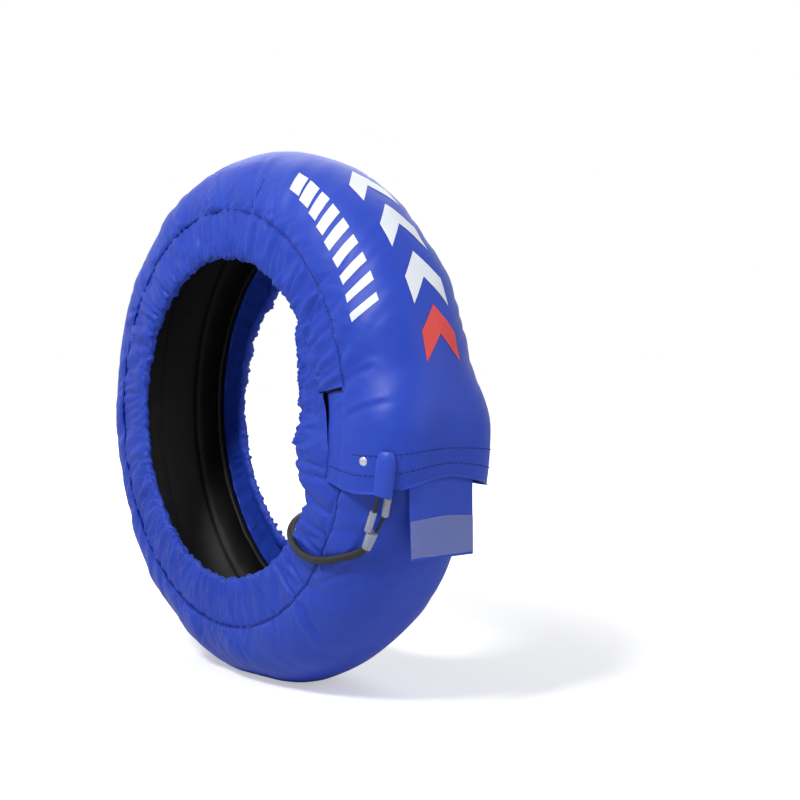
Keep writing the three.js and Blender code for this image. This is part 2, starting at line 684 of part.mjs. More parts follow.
const tabOutline = (phi, height, radiusShare) => {
  const { point, out, across } = tabFrame(phi);
  const arch = (width, rise, foot) => Array.from({ length: TAB_ARCH_STEPS + 1 }, (_, i) => {
    const turn = (i * Math.PI) / TAB_ARCH_STEPS;
    const up = foot + rise * Math.sin(turn) ** TAB_SQUARENESS;
    return point.clone().addScaledVector(across, width * Math.cos(turn)).addScaledVector(out, up);
  });
  const foot = CLEARANCE + TAB_WALL;
  const outer = arch((TAB_WIDTH / 2) * radiusShare, height, foot);
  const inner = arch((TAB_WIDTH / 2 - TAB_WALL) * radiusShare, height - TAB_WALL, foot);
  return [...outer, ...inner.reverse()];
};

// Rows of the tab: angle, share of its height, share of its width
const cableTab = () => {
  const top = FLAP_HEM_DEG + TAB_LENGTH_DEG;
  const rows = [
    [top, 0.5, 0.62], [top - 0.6, 0.85, 0.9], [top - 1.5, 1, 1],
    [FLAP_HEM_DEG + 2, 1, 1], [FLAP_HEM_DEG - 0.6, 0.96, 0.97],
  ];
  const outlines = rows.map(([phi, height, width]) => tabOutline(phi, TAB_HEIGHT * height, width));
  const flatten = (point, end) => {
    const { point: origin, out, across } = tabFrame(rows[end][0]);
    const from = point.clone().sub(origin);
    return new THREE.Vector2(from.dot(across), from.dot(out));
  };
  return named('cable_tab', loft(outlines, flatten), NYLON());
};

const tube = (points, radius, sides, count) => {
  const curve = new THREE.CatmullRomCurve3(points, false, 'centripetal');
  const circle = new THREE.Shape(Array.from({ length: sides }, (_, i) => {
    const turn = (2 * Math.PI * i) / sides;
    return new THREE.Vector2(radius * Math.cos(turn), radius * Math.sin(turn));
  }));
  return new THREE.ExtrudeGeometry(circle, { steps: count, extrudePath: curve, curveSegments: 1 });
};

// Places beside the ring, as read on a crown of this radius. They move in or out with the real one
const READ_CROWN_RADIUS = 312;
const fromCentre = (x, y, z) => {
  const far = Math.hypot(x, z);
  const grown = 1 + (CROWN_RADIUS - READ_CROWN_RADIUS) / far;
  return new THREE.Vector3(x * grown, y, CENTRE_HEIGHT + z * grown);
};

// Where the two leads run: below the flap, out through its slot, through the tab and down to the splices
const LEAD_ENDS = {
  live_lead: fromCentre(284, -73.5, -83),
  neutral_lead: fromCentre(296.5, -65, -68),
};
const SLEEVE_ENDS = {
  live_lead: fromCentre(273.5, -73, -103.5),
  neutral_lead: fromCentre(287.5, -62, -87.5),
};
const TAIL_END = fromCentre(278, -65.8, -104.8);
const BOOT_ENDS = [fromCentre(276.1, -69.1, -105.3), fromCentre(265, -68, -122)];

const pointAlong = (from, to, distance) =>
  from.clone().addScaledVector(to.clone().sub(from).normalize(), distance);

const leadPoints = (name, offset) => {
  const across = offset * LEAD_SPACING;
  const under = -COVER_THICKNESS - LEAD_RADIUS - LEAD_DROP;
  const over = 2 * CLEARANCE + TAB_WALL + LEAD_RADIUS;
  const inTab = (phi, height) => {
    const { point, out, across: sideways } = tabFrame(phi);
    return point.clone().addScaledVector(out, height).addScaledVector(sideways, across);
  };
  const end = LEAD_ENDS[name];
  return [
    inTab(LEAD_SLOT_DEG + LEAD_TAIL_DEG, under),
    inTab(LEAD_SLOT_DEG + 1.4, under),
    inTab(LEAD_SLOT_DEG, -COVER_THICKNESS / 2),
    inTab(LEAD_SLOT_DEG - 1.6, over),
    inTab(FLAP_HEM_DEG, over),
    pointAlong(end, SLEEVE_ENDS[name], -5),
    end,
  ];
};

const lead = (name, offset) => {
  const shape = tube(leadPoints(name, offset), LEAD_RADIUS, CORD_SIDES, LEAD_STEPS);
  return named(name, shape, BLACK_RUBBER());
};

// A round or tapered stick from one point to another, with a gap left at both ends
const stick = (from, to, radius, endRadius, sides) => {
  const direction = to.clone().sub(from).normalize();
  const length = from.distanceTo(to) - 2 * CLEARANCE;
  const centre = from.clone().add(to).multiplyScalar(0.5);
  return stands(new THREE.CylinderGeometry(endRadius, radius, length, sides), centre, direction);
};

const spliceSleeve = (name, leadName) => {
  const shape = stick(LEAD_ENDS[leadName], SLEEVE_ENDS[leadName], SLEEVE_RADIUS, SLEEVE_RADIUS, 10);
  return named(name, shape, CLEAR_SLEEVE());
};

// Short run of wire between a splice and the boot
const spliceTail = () => {
  const from = pointAlong(SLEEVE_ENDS.neutral_lead, TAIL_END, CLEARANCE);
  return named('neutral_tail', stick(from, TAIL_END, LEAD_RADIUS, LEAD_RADIUS, CORD_SIDES), BLACK_RUBBER());
};

const cableBoot = () =>
  named('cable_boot', stick(...BOOT_ENDS, BOOT_TOP_RADIUS, CABLE_RADIUS + BOOT_WALL, 12), CLEAR_SLEEVE());

const coilHeight = 2 * CABLE_RADIUS * COIL_TURNS_HIGH;
const coilInnerRadius = COIL_OUTER_RADIUS - 2 * CABLE_RADIUS * COIL_TURNS_WIDE;
const onFloor = (x, y, height) => new THREE.Vector3(x, y, height);

// Cable: round the near shoulder, over both hems, down behind the ring and along the floor to its coil
const CABLE_ROUTE = [
  fromCentre(251, -73, -129.5),
  fromCentre(234, -81, -136.5),
  fromCentre(214, -86, -141),
  fromCentre(192, -87, -143.5),
  fromCentre(174, -87, -138.5),
  fromCentre(159, -86, -132),
  fromCentre(147, -85, -125),
  fromCentre(137, -80, -118),
  fromCentre(129, -71, -112.5),
  fromCentre(121, -57, -107),
  fromCentre(115, -44, -102),
  fromCentre(110, -22, -99),
  fromCentre(101, 0, -106),
  fromCentre(86, 22, -123),
  fromCentre(66, 44, -145),
  fromCentre(44, 64, -164),
  fromCentre(24, 80, -177),
  fromCentre(4, 91, -197),
  fromCentre(-18, 96, -232),
  onFloor(-42, 98, 40),
  onFloor(-66, 96, 17),
];

// The cable meets the outside of the coil square on
const coilApproach = (distance) => {
  const last = CABLE_ROUTE[CABLE_ROUTE.length - 1];
  const away = new THREE.Vector2(last.x, last.y).sub(COIL_CENTRE).normalize();
  const place = COIL_CENTRE.clone().addScaledVector(away, COIL_OUTER_RADIUS + distance);
  return onFloor(place.x, place.y, coilHeight / 2);
};

const powerCable = () => {
  const start = pointAlong(...BOOT_ENDS, BOOT_ENDS[0].distanceTo(BOOT_ENDS[1]) + CLEARANCE);
  const leaving = pointAlong(...BOOT_ENDS, BOOT_ENDS[0].distanceTo(BOOT_ENDS[1]) + CABLE_RADIUS);
  const route = [start, leaving, ...CABLE_ROUTE, coilApproach(3 * CABLE_RADIUS), coilApproach(CLEARANCE)];
  return named('power_cable', tube(route, CABLE_RADIUS, CORD_SIDES, CABLE_STEPS), BLACK_RUBBER());
};

const cableCoil = () => {
  const edge = CABLE_RADIUS / 2;
  const profile = [
    [coilInnerRadius, edge], [coilInnerRadius + edge, 0],
    [COIL_OUTER_RADIUS - edge, 0], [COIL_OUTER_RADIUS, edge],
    [COIL_OUTER_RADIUS, coilHeight - edge], [COIL_OUTER_RADIUS - edge, coilHeight],
    [coilInnerRadius + edge, coilHeight], [coilInnerRadius, coilHeight - edge], [coilInnerRadius, edge],
  ].map(([radius, height]) => new THREE.Vector2(radius, height));
  const ring = new THREE.LatheGeometry(profile, COIL_SIDES).rotateX(Math.PI / 2);
  return named('cable_coil', ring.translate(COIL_CENTRE.x, COIL_CENTRE.y, 0), BLACK_RUBBER());
};

// Plug on the line on which the cable leaves the coil, its pins pointing along -X
const plugLine = COIL_CENTRE.y - COIL_OUTER_RADIUS + CABLE_RADIUS;
const plugStart = COIL_CENTRE.x - PLUG_REACH;
const alongMinusX = (geometry, x, y, z) => geometry.rotateZ(Math.PI / 2).translate(x, y, z);

const plugCable = () => {
  const length = PLUG_REACH - 2 * CABLE_RADIUS;
  const stub = new THREE.CylinderGeometry(CABLE_RADIUS, CABLE_RADIUS, length, CORD_SIDES);
  alongMinusX(stub, plugStart + CLEARANCE + length / 2, plugLine, PLUG_RADIUS);
  const radius = COIL_OUTER_RADIUS + CLEARANCE;
  const ring = new THREE.CylinderGeometry(radius, radius, 4 * PLUG_RADIUS, 2 * COIL_SIDES);
  ring.rotateX(Math.PI / 2).translate(COIL_CENTRE.x, COIL_CENTRE.y, 0);
  return named('plug_cable', cut(stub, ring), BLACK_RUBBER());
};

const plugBody = () => {
  const [relief, full] = [PLUG_RELIEF_LENGTH, PLUG_RELIEF_LENGTH + PLUG_LENGTH];
  const profile = [
    [0, 0], [PLUG_RELIEF_RADIUS, 0], [PLUG_RELIEF_RADIUS, relief - PLUG_SHOULDER],
    [PLUG_RADIUS - PLUG_SHOULDER, relief], [PLUG_RADIUS, relief + PLUG_SHOULDER],
    [PLUG_RADIUS, full - PLUG_EDGE], [PLUG_RADIUS - PLUG_EDGE, full], [0, full],
  ].map(([radius, height]) => new THREE.Vector2(radius, height));
  const shape = new THREE.LatheGeometry(profile, 16);
  return named('plug_body', alongMinusX(shape, plugStart, plugLine, PLUG_RADIUS), BLACK_RUBBER());
};

const plugPin = (name, side) => {
  const start = plugStart - PLUG_RELIEF_LENGTH - PLUG_LENGTH - CLEARANCE;
  const shape = new THREE.CylinderGeometry(PIN_RADIUS, PIN_RADIUS, PIN_LENGTH, 10);
  const place = [start - PIN_LENGTH / 2, plugLine + (side * PIN_SPACING) / 2, PLUG_RADIUS];
  return named(name, alongMinusX(shape, ...place), CHROME());
};

// Information pocket: a cloth panel sewn below the flap's hem, with a clear window on its lower half
const pocketAngles = () => {
  const inner = sectionAngles(SECTION_STEPS).filter((t) => t > POCKET_LEFT_DEG && t < POCKET_RIGHT_DEG);
  return [POCKET_LEFT_DEG, ...inner, POCKET_RIGHT_DEG];
};

const flattenUpright = (point) => new THREE.Vector2(point.x, point.z);

// A point of the hanging panel: its top follows the hem of the flap, its lower edge is straight
const pocketPoint = (t, share, outward) => {
  const depth = COVER_THICKNESS + FLAP_HEM_TURN + CLEARANCE + POCKET_THICKNESS;
  const hem = flapFacet(FLAP_HEM_DEG, t, depth);
  const middle = flapFacet(FLAP_HEM_DEG, 0, depth);
  const x = mixed(hem.x, middle.x - POCKET_LEAN, share);
  return new THREE.Vector3(x + outward, hem.y, mixed(hem.z, middle.z - POCKET_LENGTH, share));
};
const windowTop = 1 - WINDOW_LENGTH / POCKET_LENGTH;
const windowBottom = 1 - WINDOW_MARGIN / POCKET_LENGTH;

const infoPocket = () => {
  const under = COVER_THICKNESS + FLAP_HEM_TURN + 2 * CLEARANCE;
  const tuck = FLAP_HEM_DEG + POCKET_TUCK_DEG;
  const outlines = pocketAngles().map((t) => [
    flapFacet(tuck, t, under),
    pocketPoint(t, POCKET_FOLD_SHARE, POCKET_THICKNESS),
    pocketPoint(t, windowTop, POCKET_THICKNESS),
    pocketPoint(t, 1, POCKET_THICKNESS),
    pocketPoint(t, 1, 0),
    pocketPoint(t, windowTop, 0),
    pocketPoint(t, POCKET_FOLD_SHARE, 0),
    flapFacet(tuck, t, under + POCKET_THICKNESS),
  ]);
  return named('info_pocket', loft(outlines, flattenUpright), NYLON());
};

const pocketWindow = () => {
  const near = POCKET_THICKNESS + CLEARANCE;
  const far = near + WINDOW_THICKNESS;
  const outlines = pocketAngles().map((t) => [
    pocketPoint(t, windowTop, near),
    pocketPoint(t, windowTop, far),
    pocketPoint(t, windowBottom, far),
    pocketPoint(t, windowBottom, near),
  ]);
  return named('pocket_window', loft(outlines, flattenUpright), CLEAR_SLEEVE());
};

const group = new THREE.Group();
group.add(
  treadCover(), insulationPad(), heatingElement(), thermostat(), thermalLining(), overlapTongue(),
  sideSkirt('near_side_skirt', -1), sideSkirt('far_side_skirt', 1),
  hemElastic('near_hem_elastic', -1), hemElastic('far_hem_elastic', 1),
  hookTape(), loopTape(), domeRivet(), rivetWasher(), cableTab(),
  lead('live_lead', 0.5), lead('neutral_lead', -0.5),
  spliceSleeve('live_splice_sleeve', 'live_lead'), spliceSleeve('neutral_splice_sleeve', 'neutral_lead'),
  spliceTail(), cableBoot(), powerCable(), cableCoil(),
  plugCable(), plugBody(), plugPin('plug_live_pin', -1), plugPin('plug_neutral_pin', 1),
  infoPocket(), pocketWindow(),
);
export default group;
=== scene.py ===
# %% [markdown]
# # A heated belt for a motorcycle's front tyre
# The real object is a padded nylon belt that is wrapped round a tyre and closed by a flap.
# Elastic in the hems of its two side skirts pulls the cloth into hundreds of small gathers.
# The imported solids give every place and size. Here each soft piece is laid again as fine cloth
# over the same section, so the folds come from one set of formulas and always fit each other.

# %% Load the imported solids
import math

import bpy
import numpy as np
from mathutils import Matrix, Vector


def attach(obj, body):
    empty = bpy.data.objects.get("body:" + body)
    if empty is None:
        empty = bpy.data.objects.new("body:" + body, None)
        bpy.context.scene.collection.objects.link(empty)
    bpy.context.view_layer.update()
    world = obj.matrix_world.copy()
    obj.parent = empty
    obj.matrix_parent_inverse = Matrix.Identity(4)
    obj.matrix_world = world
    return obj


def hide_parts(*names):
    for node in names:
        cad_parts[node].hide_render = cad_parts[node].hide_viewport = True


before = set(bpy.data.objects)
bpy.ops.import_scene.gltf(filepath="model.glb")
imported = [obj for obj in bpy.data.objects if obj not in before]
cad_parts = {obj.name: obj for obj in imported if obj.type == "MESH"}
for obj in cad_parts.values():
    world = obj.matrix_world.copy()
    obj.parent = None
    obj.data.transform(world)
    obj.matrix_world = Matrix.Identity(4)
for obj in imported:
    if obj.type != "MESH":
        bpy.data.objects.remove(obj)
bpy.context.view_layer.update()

# %% [markdown]
# ## Camera
# The photograph was taken from a little above the axle's height, turned 56 degrees from the
# side of the wheel, with a lens of about 60 mm. Its place was worked out from the ring's outline.

# %% Camera
MM = 0.001
CENTRE_HEIGHT = 307.0
CAMERA_PLACE = Vector((1.32622, -0.88849, 0.38479))
CAMERA_RIGHT = Vector((0.63159, 0.7753, 0.0))
CAMERA_UP = Vector((-0.02821, 0.02298, 0.99934))
CAMERA_BACK = Vector((0.77479, -0.63117, 0.03639))
LENS_MM = 59.52

camera_data = bpy.data.cameras.new("photo_camera")
camera_data.lens = LENS_MM
camera_data.sensor_width = 36.0
camera_data.clip_start = 0.05
camera_data.clip_end = 50.0
camera = bpy.data.objects.new("photo_camera", camera_data)
bpy.context.scene.collection.objects.link(camera)
turn = Matrix((CAMERA_RIGHT, CAMERA_UP, CAMERA_BACK)).transposed().to_4x4()
camera.matrix_world = Matrix.Translation(CAMERA_PLACE) @ turn
bpy.context.scene.camera = camera
print("camera at", tuple(round(x, 3) for x in camera.location))

# %% [markdown]
# ## Helpers for meshes
# A piece of cloth is a grid of points. One function turns rows of points into a smooth mesh, and
# can leave out cells, for a cut edge that isn't straight. A thin rim along the open edges gives
# the cloth its thickness, without doubling every face.

# %% Mesh helpers
def link(obj):
    bpy.context.scene.collection.objects.link(obj)
    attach(obj, "root")
    return obj


def mesh_piece(name, points, faces, surface, smooth=True):
    data = bpy.data.meshes.new(name)
    data.from_pydata([tuple(p) for p in points], [], faces)
    data.validate()
    data.polygons.foreach_set("use_smooth", [smooth] * len(data.polygons))
    data.materials.append(surface)
    return link(bpy.data.objects.new(name, data))


def grid_faces(rows, columns, keep=None, closed=False):
    faces = []
    for i in range(rows - 1):
        for j in range(columns if closed else columns - 1):
            if keep is None or keep[i, j]:
                k = (j + 1) % columns
                faces.append((i * columns + j, i * columns + k, (i + 1) * columns + k, (i + 1) * columns + j))
    return faces


def apply_modifiers(obj):
    graph = bpy.context.evaluated_depsgraph_get()
    data = bpy.data.meshes.new_from_object(obj.evaluated_get(graph))
    obj.modifiers.clear()
    obj.data = data
    return obj


def give_rim(obj, thickness_mm, offset=-1.0):
    edge = obj.modifiers.new("rim", "SOLIDIFY")
    edge.thickness = thickness_mm * MM
    edge.offset = offset
    edge.use_rim = True
    edge.use_rim_only = True
    return apply_modifiers(obj)


def cloth_piece(name, points, surface, keep=None, rim_mm=1.6, uv=None):
    rows, columns = points.shape[:2]
    flat = points.reshape(-1, 3) * MM
    obj = mesh_piece(name, flat, grid_faces(rows, columns, keep), surface)
    if uv is not None:
        layer = obj.data.uv_layers.new(name="cloth")
        index = np.empty(len(obj.data.loops), dtype=np.int32)
        obj.data.loops.foreach_get("vertex_index", index)
        layer.data.foreach_set("uv", (uv.reshape(-1, 2) * MM)[index].ravel())
    return give_rim(obj, rim_mm) if rim_mm else obj


print("mesh helpers ready")

# %% [markdown]
# ## Helpers for materials
# Colours are written as the hex values that a screen shows. Blender works with linear light, so
# one function converts them. Another adds a node with its settings and its links in one line.

# %% Material helpers
def linear(hex_colour):
    channels = [int(hex_colour[i:i + 2], 16) / 255 for i in (1, 3, 5)]
    return [c / 12.92 if c <= 0.04045 else ((c + 0.055) / 1.055) ** 2.4 for c in channels] + [1.0]


def add_node(tree, kind, inputs=(), **settings):
    node = tree.nodes.new(kind)
    for key, value in settings.items():
        setattr(node, key, value)
    for socket, value in dict(inputs).items():
        if isinstance(value, bpy.types.NodeSocket):
            tree.links.new(value, node.inputs[socket])
        else:
            node.inputs[socket].default_value = value
    return node


def new_material(name, roughness, **shader):
    surface = bpy.data.materials.new(name)
    surface.use_nodes = True
    tree = surface.node_tree
    tree.nodes.clear()
    values = {"Roughness": roughness}
    values.update({key.replace("_", " "): value for key, value in shader.items()})
    body = add_node(tree, "ShaderNodeBsdfPrincipled", values)
    out = add_node(tree, "ShaderNodeOutputMaterial", {"Surface": body.outputs[0]})
    out.name = "surface_output"
    return surface, tree, body


def mottle(tree, body, dark, light, scale_mm, detail=3.0, where=None):
    """Colour that drifts between two close tones over scale_mm."""
    place = where or add_node(tree, "ShaderNodeTexCoord").outputs["Object"]
    noise = add_node(tree, "ShaderNodeTexNoise",
                     {"Vector": place, "Scale": 1000.0 / scale_mm, "Detail": detail})
    blend = add_node(tree, "ShaderNodeMix", {0: noise.outputs[0]}, data_type="RGBA")
    blend.inputs[6].default_value = linear(dark)
    blend.inputs[7].default_value = linear(light)
    tree.links.new(blend.outputs[2], body.inputs["Base Color"])
    return place


def relief(tree, body, height, depth_mm, strength=1.0, below=None):
    values = {"Height": height, "Distance": depth_mm * MM, "Strength": strength}
    if below is not None:
        values["Normal"] = below.outputs[0]
    bump = add_node(tree, "ShaderNodeBump", values)
    tree.links.new(bump.outputs[0], body.inputs["Normal"])
    return bump


print("material helpers ready")

# %% [markdown]
# ## Coated nylon
# The cover is a plain-woven nylon with a thin polyurethane coat, calendered between rollers.
# That gives a soft satin gloss and a very fine weave. Real threads are 0.25 mm apart, which is too
# fine to show at this size, so the weave is drawn at 0.8 mm. It runs in the cloth's own directions,
# along and across the belt, by a UV map that is measured in metres of cloth.

# %% Nylon
THREAD_MM = 0.8


def woven(tree, body, thread_mm, depth_mm, crumple_mm=None):
    cloth = add_node(tree, "ShaderNodeUVMap", uv_map="cloth").outputs[0]
    per_metre = 1000.0 / thread_mm
    waves = [
        add_node(tree, "ShaderNodeTexWave",
                 {"Vector": cloth, "Scale": per_metre * math.pi / 10.0, "Distortion": 0.3},
                 bands_direction=way)
        for way in ("X", "Y")
    ]
    both = add_node(tree, "ShaderNodeMath", {0: waves[0].outputs[1], 1: waves[1].outputs[1]}, operation="ADD")
    low = None
    if crumple_mm:
        place = add_node(tree, "ShaderNodeTexCoord").outputs["Object"]
        soft = add_node(tree, "ShaderNodeTexNoise",
                        {"Vector": place, "Scale": 1000.0 / crumple_mm, "Detail": 4.0})
        low = add_node(tree, "ShaderNodeBump",
                       {"Height": soft.outputs[0], "Distance": 1.3 * MM, "Strength": 0.5})
    relief(tree, body, both.outputs[0], depth_mm, 0.35, low)


def nylon(name, dark, light, roughness, crumple_mm):
    surface, tree, body = new_material(name, roughness, Sheen_Weight=0.05, Sheen_Roughness=0.4,
                                       Specular_IOR_Level=0.32)
    body.inputs["Sheen Tint"].default_value = linear("#6F8DEB")
    mottle(tree, body, dark, light, 90.0)
    woven(tree, body, THREAD_MM, 0.08, crumple_mm)
    return surface


COATED_NYLON = nylon("coated_nylon", "#1C3DAE", "#2748BE", 0.46, 26.0)
SKIRT_NYLON = nylon("uncoated_nylon", "#1B3BAA", "#2646BA", 0.5, 14.0)
POCKET_NYLON = nylon("pocket_nylon", "#2444B6", "#2F50C6", 0.45, 30.0)
print("nylon ready")

# %% [markdown]
# ## Aramid lining, thread, tape and the other soft materials
# The lining faces the hot tyre, so it is a black heat-resistant aramid: matt, with a coarse weave.
# Polyester thread sinks into the cloth and looks darker than it. The print is a thick ink.

# %% Soft materials
def plain_cloth(name, dark, light, roughness, thread_mm):
    surface, tree, body = new_material(name, roughness, Specular_IOR_Level=0.3)
    place = mottle(tree, body, dark, light, 30.0)
    weave = add_node(tree, "ShaderNodeTexVoronoi", {"Vector": place, "Scale": 1000.0 / thread_mm})
    relief(tree, body, weave.outputs[0], 0.25, 0.4)
    return surface


LINING_CLOTH = plain_cloth("aramid_lining", "#030304", "#08080A", 0.6, 1.4)
TAPE = plain_cloth("nylon_hook_and_loop", "#101012", "#1C1C1F", 0.9, 1.0)
WADDING = plain_cloth("polyester_wadding", "#CFCDC6", "#E2E0DA", 0.95, 2.0)
SILICONE = plain_cloth("silicone_heater_ribbon", "#8A3F22", "#A54E2C", 0.6, 2.5)
THREAD = plain_cloth("polyester_thread", "#141F5E", "#1C2C7C", 0.7, 0.5)
WHITE_INK = plain_cloth("white_print_ink", "#DDE3EE", "#F0F3F8", 0.5, 0.9)
RED_INK = plain_cloth("red_print_ink", "#D8403C", "#E65450", 0.5, 0.9)
BRAID = plain_cloth("braided_elastic", "#1A1A1C", "#2C2C30", 0.7, 0.8)
print("soft materials ready")

# %% [markdown]
# ## Rubber, plated steel and clear plastics
# The cable has a black rubber jacket, faintly dusty. The rivet and the pins are plated, with fine
# scratches that spread a highlight. The splices sit in clear shrink tube, which has a milky edge.

# %% Hard materials
def fine_grain(name, dark, light, roughness, grain_mm, depth_mm, **shader):
    surface, tree, body = new_material(name, roughness, **shader)
    place = mottle(tree, body, dark, light, 12.0)
    grain = add_node(tree, "ShaderNodeTexNoise", {"Vector": place, "Scale": 1000.0 / grain_mm, "Detail": 2.0})
    relief(tree, body, grain.outputs[0], depth_mm, 0.3)
    return surface


RUBBER = fine_grain("black_cable_rubber", "#0B0B0D", "#151518", 0.48, 1.2, 0.1)
CORE_RUBBER = fine_grain("core_insulation", "#101013", "#1B1B20", 0.4, 1.0, 0.05)
PHENOLIC = fine_grain("moulded_phenolic", "#1A1A1D", "#26262A", 0.55, 0.8, 0.05)
NICKEL = fine_grain("polished_nickel", "#C9CBCF", "#E3E4E8", 0.16, 0.4, 0.01, Metallic=1.0)
SHRINK_TUBE = fine_grain("clear_shrink_tube", "#B7BECB", "#D6DBE4", 0.22, 3.0, 0.25,
                         Transmission_Weight=0.55, Coat_Weight=0.6, IOR=1.45)
CLEAR_VINYL = fine_grain("clear_vinyl", "#8E9AD8", "#A6B0E2", 0.28, 9.0, 0.4, IOR=1.45, Alpha=0.34)
print("hard materials ready")

# %% [markdown]
# ## The cable and its coil
# Two-core rubber cable, 8.6 mm thick. It leaves the boot, swings round the belt's near shoulder and
# over the near hem, crosses the opening and goes over the far hem to the floor behind the ring. The
# spare length is put away there as a flat coil, and the cable ends in its plug. It is one curve, so
# that its length is real. The coil winds two turns wide and three high.

# %% Cable
CABLE_RADIUS = 4.3
COIL_CENTRE = (-120.0, 137.0)
COIL_OUTER_RADIUS = 51.0
PLUG_RELIEF_X = -153.0
PLUG_HEIGHT = 18.0


def from_centre(x, y, z):
    return (x, y, CENTRE_HEIGHT + z)


BOOT_TOP = np.array(from_centre(276.1, -69.1, -105.3))
BOOT_FOOT = np.array(from_centre(265, -68, -122))
CABLE_ROUTE = [
    from_centre(251, -73, -129.5), from_centre(234, -81, -136.5), from_centre(214, -86, -141),
    from_centre(192, -87, -143.5), from_centre(174, -87, -138.5), from_centre(159, -86, -132),
    from_centre(147, -85, -125), from_centre(137, -80, -118), from_centre(129, -71, -112.5),
    from_centre(121, -57, -107), from_centre(115, -44, -102), from_centre(110, -22, -99),
    from_centre(101, 0, -106), from_centre(86, 22, -123), from_centre(66, 44, -145),
    from_centre(44, 64, -164), from_centre(24, 80, -177), from_centre(4, 91, -197),
    from_centre(-18, 96, -232), (-42, 98, 40), (-66, 96, 17),
]


def coil_turns():
    """Points of the winding, clockwise from above. Each change of place comes a step earlier."""
    outer = COIL_OUTER_RADIUS - CABLE_RADIUS
    inner = outer - 2 * CABLE_RADIUS
    low, middle, high = (CABLE_RADIUS * k for k in (1, 3, 5))
    places = [(outer, low), (inner, low), (inner, middle), (inner, high), (outer, high), (outer, middle)]
    change, step = 70.0, 5.0
    angle, points = -90.0, []
    for k, (radius, height) in enumerate(places):
        last = k + 1 == len(places)
        run = 360.0 - change if k == 0 else 360.0 - 2 * change
        if last:
            run = (angle + 90.0) % 360.0
        for _ in range(int(round(run / step))):
            points.append((angle, radius, height))
            angle -= step
        if not last:
            after = places[k + 1]
            for i in range(int(change / step)):
                share = i * step / change
                share = 0.5 - 0.5 * math.cos(math.pi * share)
                points.append((angle, radius + share * (after[0] - radius),
                               height + share * (after[1] - height)))
                angle -= step
    return points


def coil_points():
    points = []
    for angle, radius, height in coil_turns():
        a = math.radians(angle)
        points.append((COIL_CENTRE[0] + radius * math.cos(a), COIL_CENTRE[1] + radius * math.sin(a), height))
    return points


def smooth_path(points, spacing_mm):
    """Centripetal Catmull-Rom through the points, with even spacing."""
    p = np.array(points, dtype=float)
    ends = [2 * p[0] - p[1], *p, 2 * p[-1] - p[-2]]
    out = []
    for a, b, c, d in zip(ends, ends[1:], ends[2:], ends[3:]):
        t0 = 0.0
        t1 = t0 + max(1e-6, np.linalg.norm(b - a)) ** 0.5
        t2 = t1 + max(1e-6, np.linalg.norm(c - b)) ** 0.5
        t3 = t2 + max(1e-6, np.linalg.norm(d - c)) ** 0.5
        for t in np.linspace(t1, t2, max(2, int(np.linalg.norm(c - b) / 2.0)), endpoint=False):
            ab = (t1 - t) / (t1 - t0) * a + (t - t0) / (t1 - t0) * b
            bc = (t2 - t) / (t2 - t1) * b + (t - t1) / (t2 - t1) * c
            cd = (t3 - t) / (t3 - t2) * c + (t - t2) / (t3 - t2) * d
            abc = (t2 - t) / (t2 - t0) * ab + (t - t0) / (t2 - t0) * bc
            bcd = (t3 - t) / (t3 - t1) * bc + (t - t1) / (t3 - t1) * cd
            out.append((t2 - t) / (t2 - t1) * abc + (t - t1) / (t2 - t1) * bcd)
    out.append(p[-1])
    out = np.array(out)
    far = np.concatenate([[0.0], np.cumsum(np.linalg.norm(np.diff(out, axis=0), axis=1))])
    at = np.linspace(0.0, far[-1], max(4, int(far[-1] / spacing_mm)))
    return np.stack([np.interp(at, far, out[:, k]) for k in range(3)], axis=1), far[-1]


def cord_piece(name, points, radius_mm, surface, spacing_mm=5.0):
    path, length = smooth_path(points, spacing_mm)
    data = bpy.data.curves.new(name, "CURVE")
    data.dimensions = "3D"
    spline = data.splines.new("POLY")
    spline.points.add(len(path) - 1)
    for point, place in zip(spline.points, path):
        point.co = (*(place * MM), 1.0)
    data.bevel_depth = radius_mm * MM
    data.bevel_resolution = 5
    data.use_fill_caps = True
    data.materials.append(surface)
    obj = link(bpy.data.objects.new(name, data))
    return obj, length


boot_way = (BOOT_FOOT - BOOT_TOP) / np.linalg.norm(BOOT_FOOT - BOOT_TOP)
cable_start = BOOT_FOOT - boot_way * 1.0
coil = coil_points()
print("coil ends at", [round(x, 1) for x in coil[-1]])
lead_in = [cable_start, BOOT_FOOT + boot_way * 4.3, *CABLE_ROUTE, (-92, 91.5, 6.5), (-106, 90.5, 4.4)]
route, _ = smooth_path(lead_in, 6.0)
for _ in range(30):
    route[2:-2] = (route[1:-3] + 2 * route[2:-2] + route[3:-1]) / 4
cable_line = [route[0], *route[3:-1:3]]
cable_line += coil
cable_line += [(-130, 90.3, 13.2), (-141, 90.3, 14.8), (PLUG_RELIEF_X, 90.3, PLUG_HEIGHT - 0.6)]
cable, cable_length = cord_piece("power_cable_line", cable_line, CABLE_RADIUS, RUBBER)
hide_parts("power_cable", "cable_coil", "plug_cable")
print("cable length", round(cable_length), "mm")

# %% [markdown]
# ## The belt's section and its place round the ring
# The belt's section is half an ellipse over the tread, a short straight side and then the skirt.
# A place on the cloth is given by an angle round the ring and a distance across it from the crown,
# in millimetres of cloth. These functions turn that into a point, with the flap's lift and sag and
# the flat spot on the floor, just as the solids have them.

